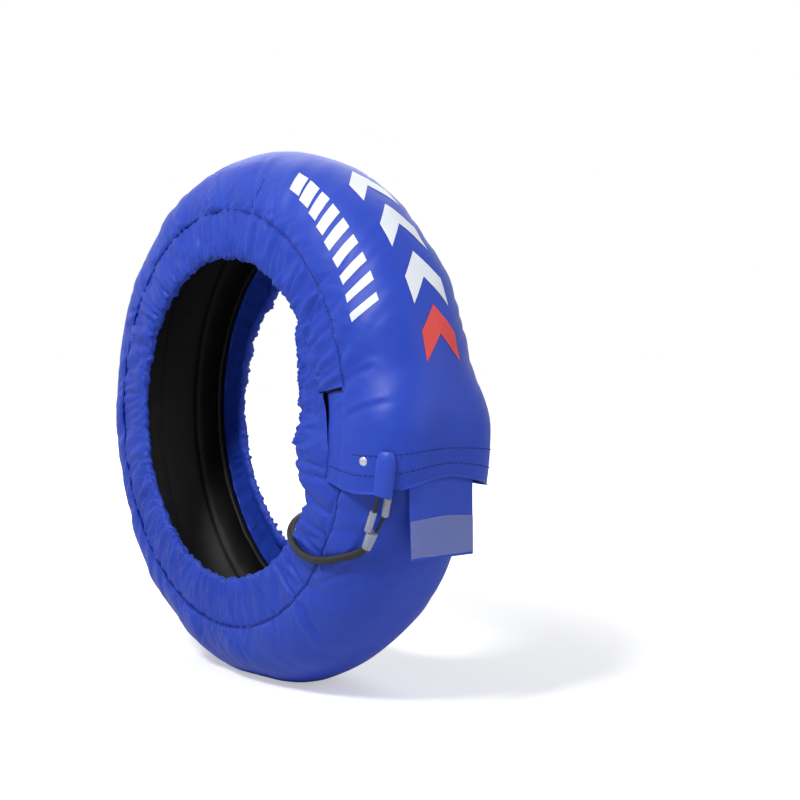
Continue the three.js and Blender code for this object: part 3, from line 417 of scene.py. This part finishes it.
# %% Section and ring
BELT_HALF_WIDTH = 75.9
SECTION_RISE = 66.0
SHOULDER_RADIUS = 246.0
SEAM_RADIUS = 241.0
HEM_RADIUS = 187.0
WING_RADIUS = 221.0
FLAP_HEM_DEG = -9.0
FLAP_HEM_SAG_DEG = 5.5
FLAP_START_DEG = 9.0
FLAP_LIFT = 5.8
FLAP_BULGE = 12.0
LOWER_END_DEG = 359.0
SKIRT_START_DEG = 10.0
SKIRT_END_DEG = 397.0
FLOOR_REACH = 0.6

section_t = np.linspace(0.0, 90.0, 721)
section_across = BELT_HALF_WIDTH * np.sin(np.radians(section_t))
section_rise = SECTION_RISE * np.cos(np.radians(section_t))
section_arc = np.concatenate([[0.0], np.cumsum(np.hypot(np.diff(section_across), np.diff(section_rise)))])
EDGE_ARC = section_arc[-1]
SEAM_ARC = EDGE_ARC + SHOULDER_RADIUS - SEAM_RADIUS
WING_ARC = EDGE_ARC + SHOULDER_RADIUS - WING_RADIUS
print("cloth from crown to seam:", round(SEAM_ARC, 1), "mm")


def smoothstep(x, low, high):
    share = np.clip((x - low) / (high - low), 0.0, 1.0)
    return share * share * (3.0 - 2.0 * share)


def to_ring(phi, across, radius):
    a = np.radians(phi)
    return np.stack([radius * np.cos(a), across + 0.0 * a, CENTRE_HEIGHT + radius * np.sin(a)], axis=-1)


def section_angle(w):
    return np.sign(w) * np.interp(np.abs(w), section_arc, section_t)


def flap_share(phi):
    return 1.0 - smoothstep(phi, LOWER_END_DEG - 360.0, FLAP_START_DEG + 6.0)


def flap_sag(phi, t):
    return phi - np.clip(phi / FLAP_HEM_DEG, 0.0, 1.0) * FLAP_HEM_SAG_DEG * np.sin(np.radians(t)) ** 2


def belt_point(phi, w, out):
    """Point on the cover at angle phi and cloth distance w, moved outwards by out."""
    t = section_angle(w)
    a = np.radians(t)
    drop = np.maximum(np.abs(w) - EDGE_ARC, 0.0)
    share = flap_share(phi)
    lift = share * (FLAP_LIFT + FLAP_BULGE * np.sin(2.0 * a) ** 2) + out
    nx, ny = np.sin(a) / BELT_HALF_WIDTH, np.cos(a) / SECTION_RISE
    size = np.hypot(nx, ny)
    across = BELT_HALF_WIDTH * np.sin(a) + nx / size * lift
    radius = SHOULDER_RADIUS + SECTION_RISE * np.cos(a) - drop + ny / size * lift
    point = to_ring(flap_sag(phi, t), across, radius)
    base = CENTRE_HEIGHT + (SHOULDER_RADIUS + SECTION_RISE * np.cos(a)) * np.sin(np.radians(phi))
    point[..., 2] += np.where(base < FLOOR_REACH, -base, 0.0)
    point[..., 2] = np.maximum(point[..., 2], 0.0)
    return point


# %% [markdown]
# ## Folds
# Nylon that is sewn to something shorter puckers. Close to a seam the puckers are small and sharp,
# 10 to 12 mm apart, and further away they run together into long soft folds. Both come from a noise
# that is stretched across the belt. Taking its absolute value gives sharp valleys and round crests,
# which is how cloth buckles.

# %% Noise and folds
def lattice(i, j, seed):
    value = np.sin(i * 127.1 + j * 311.7 + seed * 74.7) * 43758.5453
    return 2.0 * (value - np.floor(value)) - 1.0


def noise(x, y, seed):
    i, j = np.floor(x), np.floor(y)
    u, v = x - i, y - j
    u, v = u * u * (3 - 2 * u), v * v * (3 - 2 * v)
    low = lattice(i, j, seed) * (1 - u) + lattice(i + 1, j, seed) * u
    high = lattice(i, j + 1, seed) * (1 - u) + lattice(i + 1, j + 1, seed) * u
    return low * (1 - v) + high * v


def crests(x, y, seed):
    return 2.0 * np.abs(noise(x, y, seed)) - 0.7


def crease(phi, w, path, width_mm, depth_mm, lip=0.5):
    """A fold along a path of [angle, cloth distance], with a raised lip beside it."""
    x, y = np.radians(phi) * SEAM_RADIUS, w
    total = np.zeros(np.broadcast(phi, w).shape)
    nearest = np.full(total.shape, 1e9)
    side = np.zeros(total.shape)
    fade = np.zeros(total.shape)
    last = len(path) - 1
    for k, (a, b) in enumerate(zip(path, path[1:])):
        ax, ay, bx, by = math.radians(a[0]) * SEAM_RADIUS, a[1], math.radians(b[0]) * SEAM_RADIUS, b[1]
        dx, dy = bx - ax, by - ay
        length = math.hypot(dx, dy)
        share = np.clip(((x - ax) * dx + (y - ay) * dy) / length ** 2, 0.0, 1.0)
        away = np.hypot(x - ax - share * dx, y - ay - share * dy)
        closer = away < nearest
        nearest = np.where(closer, away, nearest)
        side = np.where(closer, ((x - ax) * dy - (y - ay) * dx) / length, side)
        fade = np.where(closer, (k + share) / last, fade)
    ends = np.sin(np.pi * (0.12 + 0.76 * fade)) ** 0.7
    groove = -np.exp(-(nearest / width_mm) ** 2)
    ridge = lip * np.exp(-((side - 1.8 * width_mm) / (1.4 * width_mm)) ** 2) * (nearest < 4 * width_mm)
    return depth_mm * ends * (groove + ridge)


SEAM_PITCH_MM = 6.0
CREASES = [
    ([(74.6, -74), (73.8, -87), (74.0, -99), (75.4, -116)], 1.6, 1.8),
    ([(37.7, -70), (36.8, -93), (37.1, -117), (36.6, -142), (35.6, -167)], 1.8, 2.2),
    ([(37.1, -117), (32.4, -140), (25.7, -162)], 3.2, 3.6),
    ([(-53.8 + 360, -66), (-52.2 + 360, -89), (-50.8 + 360, -108)], 3.0, 3.4),
    ([(-81.4 + 360, -77), (-83.0 + 360, -99), (-86.1 + 360, -115)], 3.0, 2.6),
    ([(-92.8 + 360, -160), (-93.3 + 360, -149), (-91.4 + 360, -143)], 2.4, 2.6),
    ([(-18.1 + 360, -125), (-26.4 + 360, -131), (-34.8 + 360, -115)], 2.2, 2.6),
    ([(3.5, -103), (4.6, -84), (5.4, -64)], 2.4, 2.2),
    ([(12.0, -100), (12.9, -78)], 2.4, 2.2),
    ([(-46 + 360, -118), (-47 + 360, -140), (-43 + 360, -160)], 2.6, 2.6),
    ([(-40 + 360, -100), (-33 + 360, -84), (-22 + 360, -74)], 3.4, 2.0),
    ([(95, -118), (97, -96), (103, -78)], 3.0, 2.0),
    ([(88, -116), (91, -92), (95, -70)], 2.6, 1.6),
    ([(250, -117), (246, -92), (243, -72)], 3.0, 2.2),
    ([(262, -117), (259, -94), (257, -76)], 2.6, 1.8),
]
PANEL_SEAMS_DEG = (111.0, 148.0, 185.0, 222.0, 259.0, 296.0)


def seam_pucker(phi, away):
    """Small sharp puckers on both sides of the long seam, and its groove."""
    x = np.radians(phi) * SEAM_RADIUS
    near = np.exp(-away / 14.0)
    pucker = 1.9 * near * crests(x / SEAM_PITCH_MM + 0.12 * away, away / 26.0, 3)
    return pucker - 1.5 * np.exp(-(away / 2.3) ** 2)


def fold_lines(phi, w):
    total = 0.0
    for path, width, depth in CREASES:
        total = total + crease(phi, w, path, width, depth)
    for angle in PANEL_SEAMS_DEG:
        for side in (-1, 1):
            total = total + crease(phi, w, [(angle, side * 96), (angle + 1, side * 140)], 1.6, 1.2)
    return total


PADDED_RISE = 2.2
LEAST_RISE = -1.3


def cover_relief(phi, w):
    away = np.abs(SEAM_ARC - np.abs(w))
    x = np.radians(phi) * SEAM_RADIUS
    calm = 1.0 - 0.8 * flap_share(phi)
    slant = np.sign(w) * 0.5
    long_folds = 2.9 * np.exp(-away / 44.0) * crests((x + slant * away) / 15.0, away / 75.0, 21)
    soft = 2.0 * noise(x / 46.0, w / 38.0, 5)
    fine = 0.45 * noise((x + 0.6 * away) / 7.0, w / 22.0, 8) * np.exp(-away / 70.0)
    puckers = seam_pucker(phi, away)
    on_flap = 0.5 * noise(x / 26.0, w / 30.0, 31) * (1 - calm)
    total = calm * (PADDED_RISE + long_folds + soft + fine + puckers) + on_flap + fold_lines(phi, w)
    held = 1.0 - 0.7 * np.exp(-(away / 4.0) ** 2)
    return np.maximum(total * held, LEAST_RISE)


def cover_point(phi, w, out=0.0):
    return belt_point(phi, w, cover_relief(phi, w) + out)


print("folds:", len(CREASES), "drawn creases and", len(PANEL_SEAMS_DEG), "panel seams a side")

# %% [markdown]
# ## Cover and flap
# The cover is one long strip of coated nylon. Its last part is the flap, which lies over the lower
# end of the belt and reaches further down at its two sides. The grid is finest near the seams, where
# the puckers are small. Cells past the seam are left out, except on the flap.

# %% Cover
angles = np.concatenate([
    np.arange(FLAP_HEM_DEG, FLAP_START_DEG, 0.6), [FLAP_START_DEG, FLAP_START_DEG + 0.3],
    np.arange(FLAP_START_DEG + 0.9, LOWER_END_DEG, 0.62), [LOWER_END_DEG],
])
half_rows = np.concatenate([
    np.linspace(0.0, 60.0, 14, endpoint=False), np.linspace(60.0, 90.0, 10, endpoint=False),
    np.linspace(90.0, SEAM_ARC, 15), np.linspace(SEAM_ARC, WING_ARC, 8)[1:],
])
across_rows = np.concatenate([-half_rows[:0:-1], half_rows])
PHI, W = np.meshgrid(angles, across_rows)
cover_points = cover_point(PHI, W)
keep = np.ones((len(across_rows) - 1, len(angles) - 1), dtype=bool)
beyond = np.abs((across_rows[:-1] + across_rows[1:]) / 2) > SEAM_ARC
keep[np.ix_(beyond, angles[:-1] >= FLAP_START_DEG)] = False
cover_uv = np.stack([np.radians(PHI) * SEAM_RADIUS, W], axis=-1)
cover = cloth_piece("cover_cloth", cover_points, COATED_NYLON, keep, 1.6, cover_uv)
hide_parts("tread_cover")
print("cover faces:", len(cover.data.polygons))

# %% [markdown]
# ## Gathered side skirts
# Each skirt is sewn to the cover at the seam and ends in a hem that is rolled inwards round an
# elastic cord. The elastic is shorter than the cloth, so the hem is full of tight gathers and its
# outline is ragged. Near the closure it pulls straight, into a narrow band behind the flap.

# %% Skirts
SKIRT_WIDTH_MM = 78.0
HEM_SHARE = 0.62
HEM_ROWS = [(10, 9), (34, 4), (50, 0), (333, 0), (340, -15), (352, -39), (370, -40), (386, -30), (397, -15)]
TOP_ROWS = [(344, 0), (349, -28), (355, -42), (362, -50), (369, -54.5), (397, -51)]
BAND_INSET = 7.6
SKIRT_PROFILE = [
    (-1.4, "top", 8.0), (1.2, "top", -3.0), (2.8, "top", -11.0), (4.2, "middle", 2.0),
    (4.6, "middle", -9.0), (3.4, "hem", 8.0), (1.6, "hem", 2.2), (-2.0, "hem", -0.4),
    (-5.2, "hem", 1.0), (-7.2, "hem", 5.5), (-6.6, "hem", 11.0),
]


def from_rows(rows, phi):
    return np.interp(phi, [r[0] for r in rows], [r[1] for r in rows])


def skirt_profile(phi, q):
    """Across and radius at share q of the profile, before any gathers."""
    top = SEAM_RADIUS + from_rows(TOP_ROWS, phi)
    hem = HEM_RADIUS + from_rows(HEM_ROWS, phi)
    middle = (top + hem) / 2
    band = smoothstep(phi, 352.0, 366.0)
    face = BELT_HALF_WIDTH - BAND_INSET * band
    scale = np.clip((top - hem) / 54.0, 0.45, 1.0)
    base = {"top": top, "middle": middle, "hem": hem}
    corners = [(face + out * (1 - 0.55 * band), base[place] + rise * scale)
               for out, place, rise in SKIRT_PROFILE]
    place = q * (len(corners) - 1)
    k = np.clip(np.floor(place).astype(int), 0, len(corners) - 2)
    u = place - k
    across, radius = np.zeros(np.broadcast(phi, q).shape), np.zeros(np.broadcast(phi, q).shape)
    for n in range(len(corners) - 1):
        here = k == n
        picks = [corners[max(0, n - 1)], corners[n], corners[n + 1], corners[min(len(corners) - 1, n + 2)]]
        weights = [-0.5 * u + u ** 2 - 0.5 * u ** 3, 1 - 2.5 * u ** 2 + 1.5 * u ** 3,
                   0.5 * u + 2 * u ** 2 - 1.5 * u ** 3, -0.5 * u ** 2 + 0.5 * u ** 3]
        across = np.where(here, sum(w * p[0] for w, p in zip(weights, picks)), across)
        radius = np.where(here, sum(w * p[1] for w, p in zip(weights, picks)), radius)
    return across, radius


def skirt_relief(phi, q, side):
    """Gathers at the hem, puckers at the seam and long folds between them."""
    x = np.radians(phi) * SEAM_RADIUS
    down = q * SKIRT_WIDTH_MM
    from_hem = np.abs(HEM_SHARE - q) * SKIRT_WIDTH_MM
    seed = 40 if side < 0 else 60
    band = smoothstep(phi, 346.0, 360.0)
    gathers = 3.0 * np.exp(-from_hem / 19.0) * crests((x - 0.25 * down) / 7.2, down / 34.0, seed)
    swell = 3.4 * np.sin(np.pi * np.clip(q / 0.66, 0, 1))
    folds = swell * crests((x + 0.35 * down) / 12.0, down / 55.0, seed + 1)
    fine = 0.6 * crests((x + 0.8 * down) / 8.0, down / 12.0, seed + 2) * smoothstep(q, 0.1, 0.4)
    pucker = seam_pucker(phi, down) * (1 - band)
    cross = 1.5 * band * crests(x / 9.0 + down / 9.0, down / 9.0, seed + 3)
    inner = 1.0 - smoothstep(q, 0.82, 1.0)
    lines = fold_lines(phi, side * (SEAM_ARC + down)) * (q < 0.7)
    total = gathers + folds * (1 - 0.5 * band) + fine + pucker + cross
    return total * inner * smoothstep(q, 0.0, 0.09) + lines


def skirt_points(phi, q, side):
    across, radius = skirt_profile(phi, q)
    step = 0.01
    a2, r2 = skirt_profile(phi, np.minimum(q + step, 1.0))
    a1, r1 = skirt_profile(phi, np.maximum(q - step, 0.0))
    da, dr = a2 - a1, r2 - r1
    size = np.maximum(np.hypot(da, dr), 1e-6)
    push = skirt_relief(phi, q, side)
    x = np.radians(phi) * SEAM_RADIUS
    seed = 80 if side < 0 else 90
    ragged = 1.2 * noise(x / 8.0, 0.0 * q, seed) + 1.8 * noise(x / 19.0, 0.0 * q, seed + 1)
    ragged = ragged * smoothstep(q, 0.3, HEM_SHARE)
    across = across - dr / size * push
    radius = radius + da / size * push + ragged
    shift = 1.2 * noise(x / 9.0, q * 5.0, seed + 2) * smoothstep(q, 0.05, 0.5) / SEAM_RADIUS
    return to_ring(phi + np.degrees(shift), side * across, radius)


skirt_angles = np.arange(SKIRT_START_DEG, SKIRT_END_DEG + 0.01, 0.6)
skirt_shares = np.linspace(0.0, 1.0, 40)
SKIRT_PHI, SKIRT_Q = np.meshgrid(skirt_angles, skirt_shares)
skirt_uv = np.stack([np.radians(SKIRT_PHI) * SEAM_RADIUS, SKIRT_Q * SKIRT_WIDTH_MM], axis=-1)
SKIRTS = (("near_skirt_cloth", "near_side_skirt", -1), ("far_skirt_cloth", "far_side_skirt", 1))
for name, node, side in SKIRTS:
    points = skirt_points(SKIRT_PHI, SKIRT_Q, side)
    skirt = cloth_piece(name, points, SKIRT_NYLON, None, 0, skirt_uv)
    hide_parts(node)
    print(name, "faces:", len(skirt.data.polygons))

# %% [markdown]
# ## A padded cover
# The cover is stretched over wadding. Its folds are formulas. A cloth simulation could make them
# too, but takes longer and is harder to steer.

# %% Padding
print("cover folds are formulas")

# %% [markdown]
# ## Black lining and the tongue
# The lining is the face that the tyre touches. Two rows of piping show on it as faint ridges. It
# ends in a tongue that lies under the flap, across the gap between the belt's ends. The solids are
# faceted and this cloth is smooth, so it lies 2 to 4 mm further in, or their corners show through.

# %% Lining
LINING_DEPTHS = (13.2, 9.8)
TONGUE_DEPTHS = (15.4, 12.6)
WING_ROWS = [(61.6, 178.0), (62.2, 195.0), (62.8, 212.0), (62.9, 230.0)]
WING_DROPS = np.array([68.0, 51.0, 34.0, 16.0])


def lining_depth(w, crown, edge):
    share = np.sin(np.radians(section_angle(w))) ** 2
    return crown + (edge - crown) * share


def ridge_of_piping(w):
    across = BELT_HALF_WIDTH * np.sin(np.radians(section_angle(w)))
    return 1.6 * np.exp(-((across - 9) / 2.2) ** 2) + 1.6 * np.exp(-((across - 62) / 2.2) ** 2)


def inner_point(phi, w, crown, edge, out=0.0):
    t = section_angle(w)
    a = np.radians(t)
    depth = lining_depth(w, crown, edge) + out
    nx, ny = np.sin(a) / BELT_HALF_WIDTH, np.cos(a) / SECTION_RISE
    size = np.hypot(nx, ny)
    drop = np.maximum(np.abs(w) - EDGE_ARC, 0.0)
    depth = depth * (1.0 - 0.8 * smoothstep(drop, 4.6, 5.2) * (edge < 10.0))
    across = BELT_HALF_WIDTH * np.sin(a) - nx / size * depth
    radius = SHOULDER_RADIUS + SECTION_RISE * np.cos(a) - drop - ny / size * depth
    point = to_ring(phi + 0.0 * w, across, radius)
    base = CENTRE_HEIGHT + (SHOULDER_RADIUS + SECTION_RISE * np.cos(a)) * np.sin(np.radians(phi))
    point[..., 2] += np.where(base < FLOOR_REACH, -base, 0.0)
    return point


lining_angles = np.arange(9.5, 358.8, 1.0)
edge_rows = EDGE_ARC + np.array([1.5, 3.0, 4.5, 4.9, 5.3])
lining_rows = np.concatenate([-edge_rows[::-1], np.linspace(-EDGE_ARC, EDGE_ARC, 90), edge_rows])
LP, LW = np.meshgrid(lining_angles, lining_rows)
lx = np.radians(LP) * SEAM_RADIUS
wrinkle = 0.7 * noise(lx / 24.0, LW / 30.0, 55) + 0.35 * noise(lx / 9.0, LW / 40.0, 56)
lining = cloth_piece("lining_cloth", inner_point(LP, LW, *LINING_DEPTHS, wrinkle + ridge_of_piping(LW)),
                     LINING_CLOTH, None, 0.5, np.stack([lx, LW], axis=-1))
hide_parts("thermal_lining")

TP, TW = np.meshgrid(np.arange(-20.0, 30.01, 1.0), np.linspace(-EDGE_ARC, EDGE_ARC, 70))
tx = np.radians(TP) * SEAM_RADIUS
tongue_wrinkle = 0.5 * noise(tx / 16.0, TW / 22.0, 57)
tongue_crown = inner_point(TP, TW, *TONGUE_DEPTHS, tongue_wrinkle)
wing_phi = TP[0]
near_wing = np.stack([to_ring(wing_phi, -a, r) for a, r in WING_ROWS])
far_wing = np.stack([to_ring(wing_phi, a, r) for a, r in WING_ROWS[::-1]])
tongue_points = np.concatenate([near_wing, tongue_crown, far_wing])
tongue_arc = np.concatenate([-EDGE_ARC - WING_DROPS, TW[:, 0], EDGE_ARC + WING_DROPS[::-1]])
tongue_uv = np.stack(np.meshgrid(tx[0], tongue_arc), axis=-1)
tongue = cloth_piece("tongue_cloth", tongue_points, LINING_CLOTH, None, 1.2, tongue_uv)
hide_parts("overlap_tongue")
print("lining faces:", len(lining.data.polygons))

# %% [markdown]
# ## Seams, stitches and print
# A lockstitch shows as short raised threads, each sunk at its ends, about 4 mm long. They are laid
# in one mesh per seam. The print is plain slanted bars and chevrons. It lies a little over the cloth
# and follows every fold.

# %% Stitches and print
def stitches(name, path, pitch_mm, length_mm, width_mm, out):
    """Threads along a path of (angle, cloth distance); path is dense."""
    phi, w = np.array([p[0] for p in path]), np.array([p[1] for p in path])
    far = np.concatenate([[0.0], np.cumsum(np.hypot(np.diff(np.radians(phi) * SEAM_RADIUS), np.diff(w)))])
    starts = np.arange(1.0, far[-1] - length_mm, pitch_mm)
    points, faces = [], []
    for start in starts:
        share = np.array([0.0, 0.5, 1.0]) * length_mm + start
        a, b = np.interp(share, far, phi), np.interp(share, far, w)
        line = cover_point(a, b, out)
        up = cover_point(a, b, out + 1.0) - line
        along = line[2] - line[0]
        along = along / max(1e-6, np.linalg.norm(along))
        base = len(points)
        for k, rise in enumerate((-0.4, 0.55, -0.4)):
            normal = up[k] / max(1e-6, np.linalg.norm(up[k]))
            beside = np.cross(along, normal) * width_mm / 2
            middle = line[k] + normal * rise
            points += [middle - beside, middle + normal * width_mm * 0.6, middle + beside]
        for k in (0, 3):
            for m in (0, 1):
                faces.append((base + k + m, base + k + m + 1, base + k + m + 4, base + k + m + 3))
    return mesh_piece(name, np.array(points) * MM, faces, THREAD)


def dense(path, count=60):
    far = np.linspace(0.0, len(path) - 1.0, count)
    return [(float(np.interp(f, range(len(path)), [p[0] for p in path])),
             float(np.interp(f, range(len(path)), [p[1] for p in path]))) for f in far]


for name, side in (("near_seam_stitches", -1), ("far_seam_stitches", 1)):
    line = [(a, side * (SEAM_ARC - 1.6)) for a in np.arange(10.0, 358.5, 0.5)]
    stitches(name, line, 5.0, 3.4, 0.9, 0.9)
    print(name, "laid")
flap_line = [(-6.4, w) for w in np.linspace(-WING_ARC + 3, WING_ARC - 3, 160)]
stitches("flap_hem_stitches", flap_line, 5.0, 3.4, 0.9, 0.3)
stitches("flap_second_stitches", [(-3.6, w) for w in np.linspace(-100, 100, 140)], 5.0, 3.4, 0.9, 0.3)
cross_line = dense([(74.6, -74), (73.8, -87), (74.0, -99), (75.2, -113)])
stitches("cross_seam_stitches", cross_line, 4.6, 3.2, 0.9, 0.6)


def print_patch(name, corners, ink, cell_mm=3.0):
    """A four-cornered patch of ink; corners are (angle, cloth distance) in order."""
    c = np.array(corners, dtype=float)
    flat = c * [math.radians(1.0) * CROWN_REACH, 1.0]
    sides = [np.linalg.norm(flat[a] - flat[b]) for a, b in ((1, 0), (2, 3), (3, 0), (2, 1))]
    rows = max(2, int(max(sides[:2]) / cell_mm) + 1)
    columns = max(2, int(max(sides[2:]) / cell_mm) + 1)
    u, v = np.meshgrid(np.linspace(0, 1, columns), np.linspace(0, 1, rows))
    place = (c[0] * ((1 - u) * (1 - v))[..., None] + c[1] * ((1 - u) * v)[..., None]
             + c[2] * (u * v)[..., None] + c[3] * (u * (1 - v))[..., None])
    points = cover_point(place[..., 0], place[..., 1], 0.45)
    return cloth_piece(name, points, ink, None, 0)


CROWN_REACH = 290.0
for k in range(9):
    middle = 62.0 - 4.7 * k
    outer = np.interp(middle, [14, 20, 30, 45, 62], [-88, -88, -86, -82, -72])
    inner = np.interp(middle, [14, 20, 30, 45, 62], [-60, -57, -53, -52, -50])
    wide = 1.9 - 0.12 * k
    print_patch(f"shoulder_bar_{k + 1}", [(middle - wide, outer), (middle + wide, outer),
                (middle + wide + 2.6, inner), (middle - wide + 2.6, inner)], WHITE_INK)
for k in range(3):
    start = 62.0 - 13.0 * k
    for m, side in enumerate((-1, 1)):
        corners = [(start, 3.0), (start - 6.0, 3.0), (start - 12.0, 3.0 + side * 24),
                   (start - 6.0, 3.0 + side * 24)]
        print_patch(f"tread_chevron_{k + 1}_{'ab'[m]}", corners, WHITE_INK)
for m, side in enumerate((-1, 1)):
    print_patch(f"tread_red_chevron_{'ab'[m]}", [(24.0, 3.0), (18.0, 3.0), (12.5, 3.0 + side * 23),
                (18.5, 3.0 + side * 23)], RED_INK)
print("print patches laid")

# %% [markdown]
# ## Pocket, window, tab and rivet
# The pocket hangs from the flap's hem and its clear window lets a card be seen. The tab is a sleeve
# over the two leads. The rivet goes through the flap beside it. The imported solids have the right
# shape here, so each is copied, its facets are merged and its edges are rounded by a bevel.

# %% Pocket and small parts
def skin_of(node, name, surface, bevel_mm):
    """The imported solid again, with rounded edges and a soft surface."""
    source = bpy.data.objects[node]
    obj = bpy.data.objects.new(name, source.data.copy())
    obj.data.materials.clear()
    obj.data.materials.append(surface)
    link(obj)
    obj.data.polygons.foreach_set("use_smooth", [True] * len(obj.data.polygons))
    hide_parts(node)
    weld = obj.modifiers.new("weld", "WELD")
    weld.merge_threshold = 0.00002
    join = obj.modifiers.new("join", "DECIMATE")
    join.decimate_type = "DISSOLVE"
    join.angle_limit = math.radians(2.0)
    round_edges = obj.modifiers.new("round", "BEVEL")
    round_edges.width = bevel_mm * MM
    round_edges.segments = 3
    round_edges.limit_method = "ANGLE"
    round_edges.angle_limit = math.radians(35.0)
    split = obj.modifiers.new("normals", "WEIGHTED_NORMAL")
    split.keep_sharp = True
    return apply_modifiers(obj)


skin_of("info_pocket", "pocket_panel", POCKET_NYLON, 0.45)
skin_of("pocket_window", "window_sheet", CLEAR_VINYL, 0.2)
skin_of("cable_tab", "tab_cloth", POCKET_NYLON, 0.5)
skin_of("dome_rivet", "rivet_dome", NICKEL, 0.4)
for node, name, surface, slot_name in (
    ("live_lead", "live_lead_line", CORE_RUBBER, "cable_rubber"),
    ("neutral_lead", "neutral_lead_line", CORE_RUBBER, "cable_rubber"),
    ("live_splice_sleeve", "live_sleeve_tube", SHRINK_TUBE, "clear_tube"),
    ("neutral_splice_sleeve", "neutral_sleeve_tube", SHRINK_TUBE, "clear_tube"),
    ("cable_boot", "boot_tube", SHRINK_TUBE, "clear_tube"),
):
    skin_of(node, name, surface, 0.3)
print("small parts rounded")

# %% [markdown]
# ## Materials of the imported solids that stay
# What lies between the layers, and the plug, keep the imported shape. They get the same finishes.

# %% Carried-over nodes
KEPT = {
    "insulation_pad": WADDING, "heating_element": SILICONE, "thermostat": PHENOLIC,
    "near_hem_elastic": BRAID, "far_hem_elastic": BRAID, "hook_tape": TAPE, "loop_tape": TAPE,
    "rivet_washer": NICKEL, "neutral_tail": CORE_RUBBER, "plug_body": RUBBER,
    "plug_live_pin": NICKEL, "plug_neutral_pin": NICKEL,
}
for node, surface in KEPT.items():
    data = bpy.data.objects[node].data
    if not data.materials:
        data.materials.append(surface)
    for k in range(len(data.materials)):
        data.materials[k] = surface
print("kept nodes:", len(KEPT))

# %% [markdown]
# ## Floor, world and light
# A white product photograph: the camera sees a white world, and the floor's own colour stays white
# while it keeps the contact shadow. A large soft light above the left front makes the folds read.

# %% Stage and light
world = bpy.data.worlds.new("studio")
bpy.context.scene.world = world
world.use_nodes = True
world.node_tree.nodes.clear()
tree = world.node_tree
ray = add_node(tree, "ShaderNodeLightPath")
seen = add_node(tree, "ShaderNodeMath", {0: ray.outputs["Is Camera Ray"], 1: ray.outputs["Is Glossy Ray"]},
                operation="MAXIMUM")
seen = add_node(tree, "ShaderNodeMath", {0: seen.outputs[0], 1: ray.outputs["Is Transmission Ray"]},
                operation="MAXIMUM")
soft = add_node(tree, "ShaderNodeBackground", {"Color": (0.95, 0.97, 1.0, 1.0), "Strength": 0.3})
plain = add_node(tree, "ShaderNodeBackground", {"Color": (1.0, 1.0, 1.0, 1.0), "Strength": 1.0})
mixed = add_node(tree, "ShaderNodeMixShader", {0: seen.outputs[0], 1: soft.outputs[0], 2: plain.outputs[0]})
add_node(tree, "ShaderNodeOutputWorld", {0: mixed.outputs[0]})

floor_surface, floor_tree, floor_body = new_material("pale_floor", 0.9, Specular_IOR_Level=0.0)
floor_body.inputs["Base Color"].default_value = (0.8, 0.8, 0.8, 1.0)
floor_body.inputs["Emission Color"].default_value = (1.0, 1.0, 1.0, 1.0)
floor_ray = add_node(floor_tree, "ShaderNodeLightPath")
floor_place = add_node(floor_tree, "ShaderNodeTexCoord").outputs["Object"]
away = add_node(floor_tree, "ShaderNodeVectorMath", {0: floor_place}, operation="LENGTH")
lift = add_node(floor_tree, "ShaderNodeMapRange", {
    "Value": away.outputs["Value"], "From Min": 0.4, "From Max": 1.1, "To Min": 0.45, "To Max": 1.0})
glow = add_node(floor_tree, "ShaderNodeMath", {0: floor_ray.outputs["Is Camera Ray"], 1: lift.outputs[0]},
                operation="MULTIPLY")
floor_tree.links.new(glow.outputs[0], floor_body.inputs["Emission Strength"])
floor_data = bpy.data.meshes.new("floor")
reach = 9.0
floor_corners = [(-reach, -reach, 0), (reach, -reach, 0), (reach, reach, 0), (-reach, reach, 0)]
floor_data.from_pydata(floor_corners, [], [(0, 1, 2, 3)])
floor_data.materials.append(floor_surface)
floor = bpy.data.objects.new("floor", floor_data)
bpy.context.scene.collection.objects.link(floor)
floor.location.z = -0.0005


def area_light(name, place, size, power):
    data = bpy.data.lights.new(name, "AREA")
    data.shape, data.size, data.energy = "DISK", size, power
    lamp = bpy.data.objects.new(name, data)
    bpy.context.scene.collection.objects.link(lamp)
    lamp.location = place
    way = Vector((0.0, 0.0, 0.3)) - Vector(place)
    lamp.rotation_euler = way.to_track_quat("-Z", "Y").to_euler()


area_light("key_light", (0.5, -1.7, 2.2), 0.6, 52.0)
area_light("fill_light", (2.2, 0.9, 1.2), 1.4, 11.0)
area_light("back_light", (-1.4, 1.2, 1.6), 1.6, 14.0)
bpy.context.scene.view_settings.view_transform = "Standard"
